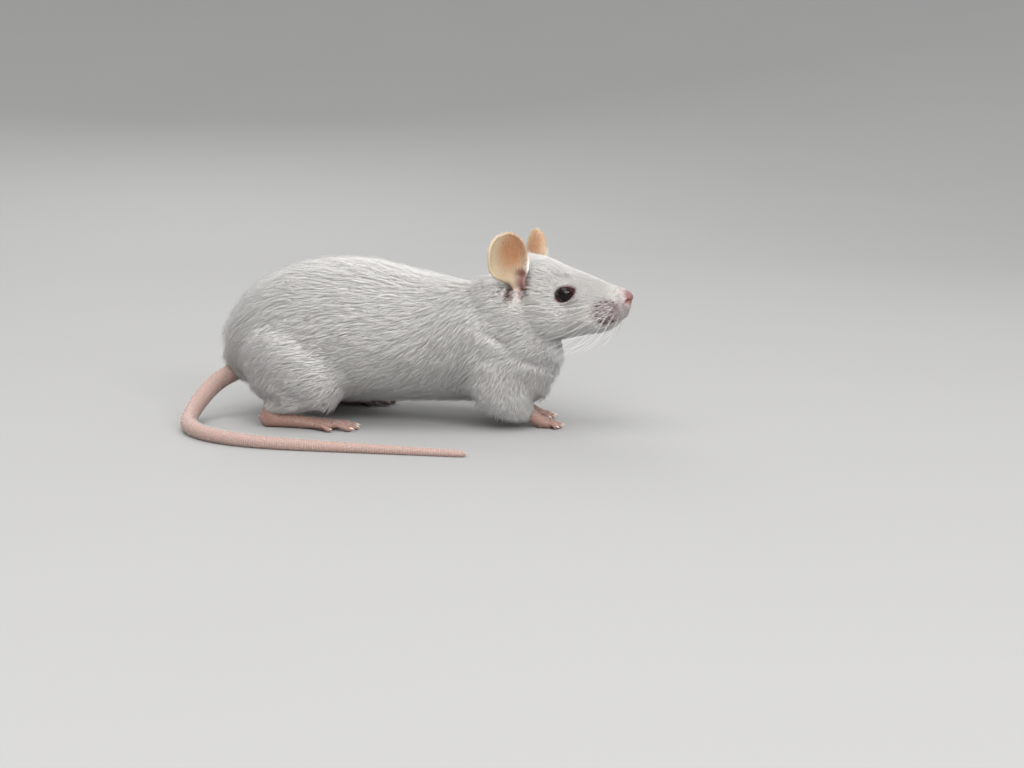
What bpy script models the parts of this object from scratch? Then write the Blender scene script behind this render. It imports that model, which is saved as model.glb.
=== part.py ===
"""White mouse, life size, as a still model.

The animal stands on all fours with its head raised, its forefeet close together under the chest and its
tail laid in a curve on the floor beside it.  It faces +X, +Z is up, and everything that touches the floor
does so on flats at z = 0.  The outline is that of the coat, out to the tips of the hair.

The flesh is modelled whole from lofts, joined and smoothed, and then parted by thin cuts into the head,
neck, trunk, legs and the rest.  Feet, ears, eyes and tail are modelled apart and meet it across the same
thin gap.
"""
import math

import bmesh
import bpy
import numpy as np
from mathutils import Matrix, Vector

MM = 0.001

# Driving dimensions, in metres.
EYE_HEIGHT = 24.0 * MM            # eye above the floor
EYE_SPACING = 9.4 * MM            # between the centres of the two eyes
EYE_RADIUS = 1.7 * MM
HEAD_PLACE = Vector((3.1 * MM, -1.2 * MM, EYE_HEIGHT))   # the point midway between the eyes
HEAD_TURN = math.radians(-8.0)    # the head looks a little to the animal's right
GAP = 0.3 * MM                    # left between two neighbouring pieces
BODY_VOXEL = 0.55 * MM
FOOT_VOXEL = 0.22 * MM
BODY_TRIANGLES = 2250
FOREFOOT_TRIANGLES = 300
HINDFOOT_TRIANGLES = 340
TAIL_LENGTH = 80.0 * MM
TAIL_BASE_RADIUS = 1.9 * MM
TAIL_TIP_RADIUS = 0.6 * MM
TAIL_PIECES = 5
TAIL_RING_EVERY = 4
TAIL_SIDES = 10
TAIL_ROOT = (-55.5 * MM, 0.0, 9.0 * MM)   # inside the rump
TAIL_FALL = 0.30                  # share of the length in which the tail comes down to the floor
TAIL_BEND = 0.70                  # share of the length that bends
TAIL_START_TURN = math.radians(15.0)
TAIL_TURN = math.radians(165.0)
SOLE_FLAT = 0.12 * MM             # taken off below to make the flats
STRIDE = 2.5 * MM                 # the left forefoot stands this far behind the right one
EAR_THICKNESS = 0.65 * MM
RING_SIDES = 28
FLESH_SMOOTHING = 6               # rounds of softening on the flesh
FOOT_SMOOTHING = 2
TAIL_RINGS = 81                   # finer than the rings that are kept, so that the path is smooth
SHARP_ANGLE = math.radians(40.0)
# Ear, in the head's frame and in millimetres.
EAR_ROOT = Vector((-8.2, 5.9, -1.6))
EAR_UPWARD = Vector((-1.8, 3.2, 12.0))
EAR_TURNED_OUT = math.radians(43.0)
EAR_HEIGHT = 12.5
EAR_LOBE = 4.45                   # radius of the round lobe
EAR_REACH = 1.06 * EAR_LOBE       # half of the lobe's width, measured round its curve
EAR_CROWN = 1.0 - EAR_LOBE / EAR_HEIGHT   # share of the height at which the lobe is widest
EAR_PINCH = 0.38                  # share of the height from there down to where the lobe ends
EAR_THROAT = 2.9                  # half of the stalk's width, measured round its curve
EAR_STALK_CURL = math.radians(112.0)
EAR_LOBE_CURL = math.radians(42.4)
EAR_TOP_CURL = math.radians(40.0)
EAR_LEAN = 1.1                    # how far the middle of the ear lies behind its two ends
EAR_TUCK = 1.3                    # how far the root turns in toward the skull
EAR_BACK_SHARE = 0.12             # what is left of the stalk's width behind its middle
EAR_RIM = 0.28                    # how far the edge rolls forward
EAR_ROWS = 13
EAR_COLUMNS = 11

# Colours of the materials, as red, green and blue, and their roughness.
FINISHES = (
    ("white_coat", (0.86, 0.84, 0.80), 0.8),
    ("pink_skin", (0.80, 0.46, 0.40), 0.5),
    ("ear_skin", (0.74, 0.52, 0.38), 0.5),
    ("dark_ruby_eye", (0.05, 0.004, 0.006), 0.05),
)
KINDS = {"forefoot": "pink_skin", "hindfoot": "pink_skin", "tail": "pink_skin", "ear": "ear_skin",
         "eye": "dark_ruby_eye"}
# About where the middle of each piece of flesh lies, in millimetres.
PLACES = {
    "snout": (10.4, -1.9, 21.8),
    "head": (-0.5, -0.7, 22.0),
    "neck": (-7.5, 0.0, 18.3),
    "chest": (-10.2, 0.0, 14.9),
    "belly": (-25.8, 0.0, 16.0),
    "rump": (-46.6, 0.0, 16.2),
    "foreleg_left": (-11.6, 6.9, 5.7),
    "foreleg_right": (-10.4, -6.8, 5.6),
    "thigh_left": (-43.4, 11.4, 11.8),
    "thigh_right": (-43.4, -11.4, 11.8),
}

# Stations of the lofts, in millimetres: x, y, z of the centre, half width, reach above it, reach below it.
TRUNK = (
    (-60.5, 0.0, 9.0, 2.5, 2.5, 2.5),
    (-58.6, 0.0, 10.0, 6.2, 6.0, 5.2),
    (-55.2, 0.0, 11.8, 10.2, 10.0, 8.4),
    (-50.0, 0.0, 13.4, 13.0, 13.2, 10.4),
    (-43.0, 0.0, 14.4, 14.4, 14.8, 11.5),
    (-35.0, 0.0, 14.4, 14.6, 15.0, 11.5),
    (-27.0, 0.0, 13.8, 13.4, 14.0, 10.6),
    (-19.0, 0.0, 13.2, 11.6, 13.2, 9.8),
    (-12.0, 0.0, 12.6, 10.6, 13.0, 9.2),
    (-6.0, 0.0, 11.6, 9.2, 11.2, 8.4),
    (-2.4, -0.1, 10.0, 7.2, 9.0, 6.4),
    (-0.5, -0.2, 9.2, 4.8, 6.2, 4.6),
    (0.5, -0.2, 8.8, 2.2, 2.6, 2.2),
)
NECK = (
    (-9.0, 0.0, 8.0, 9.4, 8.0, 7.6),
    (-7.8, -0.1, 13.0, 9.2, 9.8, 7.4),
    (-6.8, -0.5, 18.0, 8.6, 11.4, 7.1),
    (-6.0, -0.9, 23.0, 7.8, 10.6, 6.4),
    (-5.6, -1.1, 27.0, 5.2, 6.2, 4.8),
)
# Head, in its own frame: ahead of the eyes, widest level, half width, top line, bottom line.
HEAD = (
    (-13.0, 0.0, 3.0, 3.0, -3.0),
    (-11.5, -0.5, 6.0, 6.0, -6.5),
    (-8.0, -1.5, 7.5, 6.9, -9.0),
    (-4.5, -2.4, 7.7, 6.2, -9.4),
    (-2.0, -2.7, 7.0, 5.2, -8.9),
    (0.0, -2.8, 6.1, 4.3, -8.4),
    (3.0, -2.9, 4.8, 3.2, -7.6),
    (5.5, -3.0, 4.1, 2.1, -7.1),
    (7.5, -2.9, 3.6, 1.3, -6.2),
    (9.0, -2.4, 2.7, 0.9, -4.9),
    (10.0, -1.8, 1.7, 0.5, -3.9),
    (10.6, -0.8, 0.7, 0.0, -1.6),
)
# Legs of the left side; the right ones mirror them: x, y, z, radius across, above and below.
FORELEG = (
    (-13.0, 6.4, 14.5, 4.0, 4.6, 4.6),
    (-11.0, 7.5, 9.6, 3.9, 4.6, 4.6),
    (-9.0, 7.7, 5.8, 3.4, 4.0, 3.6),
    (-6.4, 6.6, 3.9, 2.7, 3.2, 2.5),
    (-4.4, 5.3, 2.9, 1.8, 2.0, 1.7),
    (-3.0, 4.5, 2.0, 1.2, 1.15, 1.15),
    (-2.0, 4.2, 1.6, 1.1, 0.9, 0.9),
)
THIGH = (
    (-52.5, 6.5, 14.0, 5.2, 6.0, 6.0),
    (-49.0, 8.2, 12.8, 7.2, 8.2, 8.2),
    (-44.0, 9.8, 10.4, 7.0, 7.8, 7.2),
    (-39.0, 11.2, 7.8, 5.2, 5.6, 4.8),
    (-35.8, 11.8, 6.6, 2.6, 3.0, 2.8),
)
SHANK = (
    (-38.0, 11.6, 5.6, 3.0, 3.2, 2.8),
    (-43.0, 11.8, 4.6, 2.8, 3.0, 2.6),
    (-47.5, 11.8, 3.8, 2.2, 2.2, 1.9),
    (-49.6, 11.8, 2.8, 1.6, 1.7, 1.6),
    (-49.9, 11.8, 1.6, 1.3, 1.3, 1.2),
)
FOREPAW = (
    (-4.8, 5.1, 2.75, 1.5, 1.5, 1.5),
    (-3.7, 4.7, 2.3, 1.3, 1.3, 1.3),
    (-2.6, 4.35, 1.6, 1.25, 1.05, 1.3),
    (-1.4, 4.2, 1.05, 1.45, 0.95, 1.15),
    (-0.3, 4.1, 0.85, 1.3, 0.7, 0.95),
)
HINDPAW = (
    (-51.2, 11.8, 1.2, 0.8, 0.9, 1.2),
    (-50.2, 11.8, 1.5, 1.35, 1.8, 1.65),
    (-47.5, 11.8, 1.4, 1.4, 1.5, 1.5),
    (-44.0, 11.9, 1.15, 1.5, 1.2, 1.3),
    (-40.5, 12.0, 0.95, 1.95, 1.0, 1.1),
    (-38.4, 12.1, 0.85, 2.1, 0.85, 0.95),
    (-37.4, 12.1, 0.75, 1.6, 0.6, 0.8),
)
ANKLE = ((-49.3, 11.8, 2.2), (1.9, 1.7, 2.4))
WRIST = -3.7                      # where the forefoot begins
HINDFOOT_TOP = 2.7                # where the hind foot ends at the ankle
# Toes of the left feet: x, y, z of the root, angle outward in degrees, length, all else in millimetres.
FORETOES = (
    (-0.6, 3.15, 0.95, -24.0, 1.8),
    (-0.6, 3.77, 0.95, -7.0, 2.3),
    (-0.6, 4.43, 0.95, 8.0, 2.3),
    (-0.6, 5.05, 0.95, 25.0, 1.8),
)
HINDTOES = (
    (-40.4, 10.35, 1.05, -20.0, 3.1),
    (-38.2, 10.95, 1.05, -8.0, 4.0),
    (-38.0, 12.1, 1.05, 1.0, 4.4),
    (-38.2, 13.25, 1.05, 9.0, 4.0),
    (-40.4, 13.85, 1.05, 22.0, 3.1),
)
FORETOE_RADIUS = 0.43
HINDTOE_RADIUS = 0.52
# A toe from root to claw: shares of its length, of its root's height and of its radius.
TOE_SHAPE = ((0.0, 0.80, 1.0), (0.4, 0.90, 1.0), (0.75, 0.55, 0.95), (1.0, 0.42, 0.62), (1.25, 0.20, 0.26))
# Mounds of the left side of the head, in its own frame: centre and radii.
NOSE = ((10.0, 0.0, -0.75), (1.05, 1.35, 1.05))
MOUNDS = {
    "whisker_pad": ((6.9, 1.95, -3.3), (2.6, 2.0, 2.3)),
    "cheek": ((-4.0, 4.4, -3.8), (5.2, 3.5, 4.6)),
    "brow": ((-0.4, 3.4, 1.2), (3.0, 2.1, 2.2)),
}
# Thin walls that part head, neck and trunk: centre, direction they face, width and height.
MUZZLE_WALL = ((4.6, 0.0, -2.5), (1.0, 0.0, 0.12), 14.0, 14.0)      # centre in the head's frame
HEAD_WALL = ((-3.6, -0.8, 20.6), (1.0, 0.0, 0.72), 30.0, 30.0)
TRUNK_WALLS = {
    "neck_wall": ((-9.0, 0.0, 17.0), (1.0, 0.0, 0.95), 40.0, 44.0),
    "chest_wall": ((-20.0, 0.0, 15.0), (1.0, 0.0, 0.0), 50.0, 60.0),
    "rump_wall": ((-31.5, 0.0, 15.0), (1.0, 0.0, 0.0), 50.0, 60.0),
}
# Shells that part the left legs from the trunk: centre and radii.
FORELEG_SHELL = ((-9.4, 8.4, 3.2), (9.6, 6.4, 7.0))
THIGH_SHELL = ((-43.6, 16.0, 8.8), (11.4, 10.0, 12.6))
SHELL_STRIDE = 0.6                # share of the stride by which a foreleg's shell follows its foot
# Rooms for the left feet under the legs, and what lies beyond the feet's own ends: two corners each.
HINDFOOT_ROOM = ((-54.0, 8.8, -2.0), (-30.0, 17.0, HINDFOOT_TOP + GAP / MM))
FOREFOOT_ROOM = ((WRIST, 2.4, -2.0), (3.0, 8.0, 3.6))
BEHIND_WRIST = ((-9.0, -12.0, -3.0), (WRIST + GAP / MM, 12.0, 6.0))
ABOVE_ANKLE = ((-60.0, -20.0, HINDFOOT_TOP), (-25.0, 20.0, 12.0))
BELOW_FLOOR = ((-120.0, -60.0, -20.0), (60.0, 60.0, 0.0))


def clear_scene():
    """Remove every object, so that the model starts from an empty scene."""
    for item in list(bpy.data.objects):
        bpy.data.objects.remove(item, do_unlink=True)


def new_collection(name):
    """Return a new collection linked to the scene."""
    group = bpy.data.collections.new(name)
    bpy.context.scene.collection.children.link(group)
    return group


def make_material(name, colour, roughness):
    """Return a Principled material with a plain colour."""
    material = bpy.data.materials.new(name)
    material.use_nodes = True
    shader = material.node_tree.nodes["Principled BSDF"]
    shader.inputs["Base Color"].default_value = (*colour, 1.0)
    shader.inputs["Roughness"].default_value = roughness
    shader.inputs["Metallic"].default_value = 0.0
    material.diffuse_color = (*colour, 1.0)
    return material


def add_mesh(name, mesh, group):
    """Return a new object for a mesh in a collection."""
    item = bpy.data.objects.new(name, mesh)
    group.objects.link(item)
    return item


def spline_rows(stations, steps):
    """Return the stations with smooth cubic steps between them, as an array of rows."""
    rows = np.array(stations, dtype=float)
    slopes = np.gradient(rows, axis=0)
    fine = []
    for index in range(len(rows) - 1):
        for step in range(steps):
            t = step / steps
            a, b = rows[index], rows[index + 1]
            fine.append((2 * t**3 - 3 * t**2 + 1) * a + (t**3 - 2 * t**2 + t) * slopes[index]
                        + (3 * t**2 - 2 * t**3) * b + (t**3 - t**2) * slopes[index + 1])
    fine.append(rows[-1])
    return np.array(fine)


def loft_mesh(name, rings):
    """Return a closed mesh that runs through rings of points and is capped at both ends."""
    count = len(rings[0])
    points = np.concatenate(rings)
    faces = []
    for ring in range(len(rings) - 1):
        for side in range(count):
            here = ring * count + side
            beside = ring * count + (side + 1) % count
            faces.append((here, beside, beside + count, here + count))
    faces.append(tuple(reversed(range(count))))
    last = (len(rings) - 1) * count
    faces.append(tuple(range(last, last + count)))
    mesh = bpy.data.meshes.new(name)
    mesh.from_pydata([tuple(point) for point in points], [], faces)
    shell = bmesh.new()
    shell.from_mesh(mesh)
    bmesh.ops.recalc_face_normals(shell, faces=shell.faces)
    shell.to_mesh(mesh)
    shell.free()
    return mesh


def ring_points(centre, across, upward, half, above, below, sides=RING_SIDES):
    """Return one egg-shaped ring of points round a centre."""
    turn = np.linspace(0.0, 2.0 * math.pi, sides, endpoint=False)
    rise = np.where(np.sin(turn) > 0.0, above, below) * np.sin(turn)
    return centre + np.outer(np.cos(turn) * half, across) + np.outer(rise, upward)


def tube_mesh(name, stations, steps=4, sides=RING_SIDES, mirror=1.0):
    """Return a loft along a bent line in millimetres, its rings square to the line.

    Mirror is -1 for the right side.
    """
    rows = spline_rows(stations, steps) * MM
    rows[:, 1] *= mirror
    hint = (0.0, 1.0, 0.0)
    centres = rows[:, :3]
    along = np.gradient(centres, axis=0)
    along /= np.linalg.norm(along, axis=1)[:, None]
    rings = []
    for centre, tangent, row in zip(centres, along, rows):
        upward = np.cross(tangent, hint)
        upward /= np.linalg.norm(upward)
        across = np.cross(upward, tangent)
        rings.append(ring_points(centre, across, upward, row[3], row[4], row[5], sides))
    return loft_mesh(name, rings)


def head_matrix():
    """Return the head's own frame: X ahead, Y to its left, its origin midway between the eyes."""
    return Matrix.Translation(HEAD_PLACE) @ Matrix.Rotation(HEAD_TURN, 4, "Z")


def head_mesh():
    """Return the loft of the skull and muzzle with their short coat."""
    rows = spline_rows(HEAD, 4) * MM
    rings = []
    for ahead, level, half, top, bottom in rows:
        centre = np.array((ahead, 0.0, level))
        above, below = top - level, level - bottom
        rings.append(ring_points(centre, (0.0, 1.0, 0.0), (0.0, 0.0, 1.0), half, above, below))
    return loft_mesh("head_loft", rings)


def ellipsoid(name, centre, radii, group, matrix=None):
    """Return an ellipsoid object, its centre and radii in millimetres."""
    shape = bmesh.new()
    bmesh.ops.create_icosphere(shape, subdivisions=3, radius=MM)
    place = Matrix.Translation(Vector(centre) * MM) @ Matrix.Diagonal((*radii, 1.0))
    shape.transform(place if matrix is None else matrix @ place)
    mesh = bpy.data.meshes.new(name)
    shape.to_mesh(mesh)
    shape.free()
    return add_mesh(name, mesh, group)


def evaluated_copy(item, name):
    """Return a plain mesh of an object with its modifiers done."""
    graph = bpy.context.evaluated_depsgraph_get()
    mesh = bpy.data.meshes.new_from_object(item.evaluated_get(graph))
    mesh.name = name
    return mesh


def join_meshes(name, items, group):
    """Return one object that holds the meshes of several, and remove those."""
    whole = bmesh.new()
    for item in items:
        piece = item.data.copy()
        piece.transform(item.matrix_world)
        whole.from_mesh(piece)
        bpy.data.meshes.remove(piece)
        bpy.data.objects.remove(item, do_unlink=True)
    mesh = bpy.data.meshes.new(name)
    whole.to_mesh(mesh)
    whole.free()
    return add_mesh(name, mesh, group)


def melt(item, voxel, rounds, triangles):
    """Turn overlapping shells into one smooth skin of about the given number of triangles."""
    remesh = item.modifiers.new("one_skin", "REMESH")
    remesh.mode = "VOXEL"
    remesh.voxel_size = voxel
    smooth = item.modifiers.new("soften", "SMOOTH")
    smooth.factor = 0.5
    smooth.iterations = rounds
    mesh = evaluated_copy(item, item.name)
    item.modifiers.clear()
    item.data = mesh
    thin = item.modifiers.new("thin", "DECIMATE")
    thin.ratio = min(1.0, triangles / (2.0 * len(mesh.polygons)))
    thin.use_collapse_triangulate = True
    mesh = evaluated_copy(item, item.name)
    item.modifiers.clear()
    item.data = mesh
    return item


def side_name(side):
    """Return the name of the animal's left or right."""
    return "left" if side > 0 else "right"


def on_side(place, side):
    """Return a place of the left side, mirrored where side is -1."""
    return Vector((place[0], side * place[1], place[2]))


def stride(side):
    """Return how far a forefoot stands behind the right one, in millimetres."""
    return STRIDE / MM if side > 0 else 0.0


def foreleg_rows(side):
    """Return the stations of one foreleg, which swings back from its shoulder by the stride."""
    last = len(FORELEG) - 1
    return [(row[0] - stride(side) * index / last, *row[1:]) for index, row in enumerate(FORELEG)]


def body_shells(group):
    """Return the overlapping shells of trunk, neck, head and legs."""
    frame = head_matrix()
    shells = [
        add_mesh("trunk_loft", tube_mesh("trunk_loft", TRUNK), group),
        add_mesh("neck_loft", tube_mesh("neck_loft", NECK), group),
    ]
    skull = add_mesh("head_loft", head_mesh(), group)
    skull.data.transform(frame)
    shells.append(skull)
    shells.append(ellipsoid("nose", *NOSE, group, frame))
    for side in (1.0, -1.0):
        for name, (place, radii) in MOUNDS.items():
            shells.append(ellipsoid(name, on_side(place, side), radii, group, frame))
        for name, rows in (("foreleg", foreleg_rows(side)), ("thigh", THIGH), ("shank", SHANK)):
            mesh = tube_mesh(name, rows, mirror=side, sides=20)
            shells.append(add_mesh(name, mesh, group))
    return shells


def digit(toe, radius, back, side, group):
    """Return one toe that arches forward from its root and ends in its claw."""
    ahead, aside, level, angle, length = toe
    rows = []
    for reach, height, girth in TOE_SHAPE:
        x = ahead - back + reach * length * math.cos(math.radians(angle))
        y = aside + reach * length * math.sin(math.radians(angle))
        rows.append((x, y, level * height, radius * girth, radius * girth, radius * girth))
    return add_mesh("toe", tube_mesh("toe", rows, steps=2, sides=10, mirror=side), group)


def forefoot(side, group):
    """Return the flesh of one forefoot from its wrist to its claws."""
    back = stride(side)
    palm = [(row[0] - back, *row[1:]) for row in FOREPAW]
    items = [add_mesh("palm", tube_mesh("palm", palm, mirror=side, sides=16), group)]
    items += [digit(toe, FORETOE_RADIUS, back, side, group) for toe in FORETOES]
    return join_meshes("forefoot_" + side_name(side), items, group)


def hindfoot(side, group):
    """Return the flesh of one long hind foot from its heel to its claws."""
    items = [add_mesh("sole", tube_mesh("sole", HINDPAW, mirror=side, sides=16), group)]
    place, radii = ANKLE
    items.append(ellipsoid("ankle", on_side(place, side), radii, group))
    items += [digit(toe, HINDTOE_RADIUS, 0.0, side, group) for toe in HINDTOES]
    return join_meshes("hindfoot_" + side_name(side), items, group)


def smooth_step(low, high, value):
    """Return 0 below low and 1 above high, with a soft step between them; low may be the larger."""
    part = min(max((value - low) / (high - low), 0.0), 1.0)
    return part * part * (3.0 - 2.0 * part)


def ear_axes():
    """Return the directions of the left ear: up its length, across it and out of its hollow."""
    upward = EAR_UPWARD.normalized()
    facing = Vector((math.cos(EAR_TURNED_OUT), math.sin(EAR_TURNED_OUT), 0.0))
    facing = (facing - upward * facing.dot(upward)).normalized()
    return upward, upward.cross(facing), facing


def ear_reach(v):
    """Return half of the ear's width round its curve, and half of the angle it curls through."""
    if v > EAR_CROWN:
        reach = EAR_REACH * math.sqrt(max(1.0 - ((v - EAR_CROWN) / (1.0 - EAR_CROWN)) ** 2, 0.0))
        return reach, EAR_TOP_CURL * reach / EAR_LOBE
    lobe = EAR_REACH * math.sqrt(max(1.0 - ((EAR_CROWN - v) / EAR_PINCH) ** 2, 0.0))
    reach = (lobe ** 4 + EAR_THROAT ** 4) ** 0.25
    return reach, EAR_STALK_CURL + (EAR_LOBE_CURL - EAR_STALK_CURL) * smooth_step(0.15, EAR_CROWN, v)


def ear_point(v, share):
    """Return a place on the left ear, in millimetres.

    V runs from 0 at the root to 1 at the top, and share from -1 at the front edge to 1 at the back edge.
    """
    upward, across, facing = ear_axes()
    reach, curl = ear_reach(v)
    backward = EAR_BACK_SHARE + (1.0 - EAR_BACK_SHARE) * smooth_step(0.20, 0.50, v)
    turn = curl * (-1.0 + 0.5 * (share + 1.0) * (1.0 + backward))
    radius = reach / curl
    if turn < 0.0:
        radius *= 1.0 - 0.18 * min(v / EAR_CROWN, 1.0)
    middle = EAR_ROOT + upward * (EAR_HEIGHT * v) + facing * (EAR_LEAN * ((2.0 * v - 1.0) ** 2 - 1.0))
    middle.y -= EAR_TUCK * smooth_step(0.32, -0.05, v)
    rim = EAR_RIM * smooth_step(0.80, 1.0, abs(share)) * smooth_step(0.25, 0.5, v)
    return middle + across * (radius * math.sin(turn)) + facing * (radius * (1.0 - math.cos(turn)) + rim)


def ear_mesh(side):
    """Return the open sheet of one ear: a round lobe on a short stalk whose front rolls inward."""
    points = []
    for v in np.linspace(0.0, 0.985, EAR_ROWS):
        for share in np.linspace(-1.0, 1.0, EAR_COLUMNS):
            points.append(on_side(ear_point(float(v), float(share)), side) * MM)
    faces = []
    for start in range(0, (EAR_ROWS - 1) * EAR_COLUMNS, EAR_COLUMNS):
        for here in range(start, start + EAR_COLUMNS - 1):
            faces.append((here, here + 1, here + EAR_COLUMNS + 1, here + EAR_COLUMNS))
    mesh = bpy.data.meshes.new("ear")
    mesh.from_pydata(points, [], faces)
    mesh.transform(head_matrix())
    return mesh


def ear(side, group):
    """Return one ear with its real thickness."""
    item = add_mesh("ear_" + side_name(side), ear_mesh(side), group)
    wall = item.modifiers.new("thickness", "SOLIDIFY")
    wall.thickness = EAR_THICKNESS
    wall.offset = 0.0
    item.data = evaluated_copy(item, item.name)
    item.modifiers.clear()
    repair_normals(item)
    return item


def repair_normals(item):
    """Turn the faces of a closed mesh outward."""
    shell = bmesh.new()
    shell.from_mesh(item.data)
    bmesh.ops.remove_doubles(shell, verts=shell.verts, dist=0.00001)
    bmesh.ops.recalc_face_normals(shell, faces=shell.faces)
    shell.to_mesh(item.data)
    shell.free()


def tail_path(count):
    """Return the centres and radii along the tail: down from the rump, then a curve on the floor."""
    place = np.array(TAIL_ROOT[:2])
    step = TAIL_LENGTH / (count - 1)
    centres, radii = [], []
    for index in range(count):
        part = index / (count - 1)
        radius = TAIL_BASE_RADIUS + (TAIL_TIP_RADIUS - TAIL_BASE_RADIUS) * part ** 0.8
        fall = math.pi * min(part / TAIL_FALL, 1.0)
        lowered = 0.5 - 0.5 * math.cos(fall)
        height = TAIL_ROOT[2] * (1.0 - lowered) + (radius - SOLE_FLAT) * lowered
        heading = math.pi + TAIL_START_TURN
        heading += TAIL_TURN * math.sin(0.5 * math.pi * min(part / TAIL_BEND, 1.0))
        centres.append((place[0], place[1], height))
        radii.append(radius)
        slope = 0.5 * math.pi / TAIL_FALL * TAIL_ROOT[2] / TAIL_LENGTH * math.sin(fall)
        level = math.sqrt(1.0 - min(slope, 0.9) ** 2)
        place = place + step * level * np.array((math.cos(heading), math.sin(heading)))
    return np.array(centres), np.array(radii)


def tail_pieces(group):
    """Return the tail in a few lengths, from its base to its tip, each cut square."""
    centres, radii = tail_path(TAIL_RINGS)
    along = np.gradient(centres, axis=0)
    along /= np.linalg.norm(along, axis=1)[:, None]
    span = (TAIL_RINGS - 1) // TAIL_PIECES
    pieces = []
    for number in range(TAIL_PIECES):
        rings = []
        for index in range(number * span, (number + 1) * span + 1, TAIL_RING_EVERY):
            shift = 0.0
            if index == number * span and number > 0:
                shift = 0.5 * GAP
            if index == (number + 1) * span and number < TAIL_PIECES - 1:
                shift = -0.5 * GAP
            centre = centres[index] + along[index] * shift
            across = np.cross((0.0, 0.0, 1.0), along[index])
            across /= np.linalg.norm(across)
            upward = np.cross(along[index], across)
            rings.append(ring_points(centre, across, upward, *[radii[index]] * 3, TAIL_SIDES))
        name = "tail_%d" % (number + 1)
        pieces.append(add_mesh(name, loft_mesh(name, rings), group))
    return pieces


def wall(name, centre, normal, width, height, group):
    """Return a thin wall, as thick as the gap, square to a direction."""
    shape = bmesh.new()
    bmesh.ops.create_cube(shape, size=1.0)
    turn = Vector(normal).normalized().to_track_quat("X", "Z").to_matrix().to_4x4()
    size = Matrix.Diagonal((GAP, width * MM, height * MM, 1.0))
    shape.transform(Matrix.Translation(Vector(centre) * MM) @ turn @ size)
    mesh = bpy.data.meshes.new(name)
    shape.to_mesh(mesh)
    shape.free()
    return as_cutter(add_mesh(name, mesh, group))


def block(name, corners, group, side=1.0, back=0.0):
    """Return a box between two corners, mirrored where side is -1 and moved back."""
    shape = bmesh.new()
    bmesh.ops.create_cube(shape, size=1.0)
    low, high = [(on_side(corner, side) - Vector((back, 0.0, 0.0))) * MM for corner in corners]
    size = Vector([abs(high[axis] - low[axis]) for axis in range(3)])
    shape.transform(Matrix.Translation((low + high) / 2.0) @ Matrix.Diagonal((*size, 1.0)))
    mesh = bpy.data.meshes.new(name)
    shape.to_mesh(mesh)
    shape.free()
    return as_cutter(add_mesh(name, mesh, group))


def hollow_shell(name, centre, radii, group):
    """Return a thin closed shell round an ellipsoid, as thick as the gap."""
    shape = bmesh.new()
    for growth, flip in ((0.5 * GAP / MM, False), (-0.5 * GAP / MM, True)):
        part = bmesh.new()
        bmesh.ops.create_icosphere(part, subdivisions=3, radius=MM)
        grown = [radius + growth for radius in radii]
        part.transform(Matrix.Translation(Vector(centre) * MM) @ Matrix.Diagonal((*grown, 1.0)))
        if flip:
            bmesh.ops.reverse_faces(part, faces=part.faces)
        mesh = bpy.data.meshes.new(name)
        part.to_mesh(mesh)
        part.free()
        shape.from_mesh(mesh)
        bpy.data.meshes.remove(mesh)
    mesh = bpy.data.meshes.new(name)
    shape.to_mesh(mesh)
    shape.free()
    return as_cutter(add_mesh(name, mesh, group))


def as_cutter(item):
    """Mark an object as a tool that is not part of the model."""
    item.hide_render = True
    item.display_type = "WIRE"
    return item


def cut(item, cutters):
    """Take the cutters away from an object."""
    for cutter in cutters:
        step = item.modifiers.new("cut", "BOOLEAN")
        step.operation = "DIFFERENCE"
        step.solver = "EXACT"
        step.object = cutter
        mesh = evaluated_copy(item, item.name)
        item.modifiers.clear()
        item.data = mesh
    return item


def body_cutters(group):
    """Return the thin walls that part head, neck and trunk."""
    turn = Matrix.Rotation(HEAD_TURN, 3, "Z")
    place, normal, width, height = MUZZLE_WALL
    muzzle = head_matrix() @ (Vector(place) * MM) / MM
    walls = [wall("muzzle_wall", muzzle, turn @ Vector(normal), width, height, group)]
    place, normal, width, height = HEAD_WALL
    walls.append(wall("head_wall", place, turn @ Vector(normal), width, height, group))
    for name, (place, normal, width, height) in TRUNK_WALLS.items():
        walls.append(wall(name, place, normal, width, height, group))
    return walls


def leg_cutters(group):
    """Return the shells that part the legs from the trunk, and the blocks that make room for the feet."""
    cutters = []
    for side in (1.0, -1.0):
        back = stride(side)
        elbow, radii = FORELEG_SHELL
        elbow = on_side(elbow, side) - Vector((SHELL_STRIDE * back, 0.0, 0.0))
        cutters.append(hollow_shell("foreleg_cut", elbow, radii, group))
        hip, radii = THIGH_SHELL
        cutters.append(hollow_shell("thigh_cut", on_side(hip, side), radii, group))
        cutters.append(block("hindfoot_room", HINDFOOT_ROOM, group, side))
        low, high = FOREFOOT_ROOM
        cutters.append(block("forefoot_room", ((low[0] - back, *low[1:]), high), group, side))
    return cutters


def foot_cutters(side, group):
    """Return the blocks that end the forefoot at its wrist and the hind foot at its ankle."""
    low, high = BEHIND_WRIST
    wrist = block("wrist_end", (low, (high[0] - stride(side), *high[1:])), group)
    return wrist, block("ankle_end", ABOVE_ANKLE, group)


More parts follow.
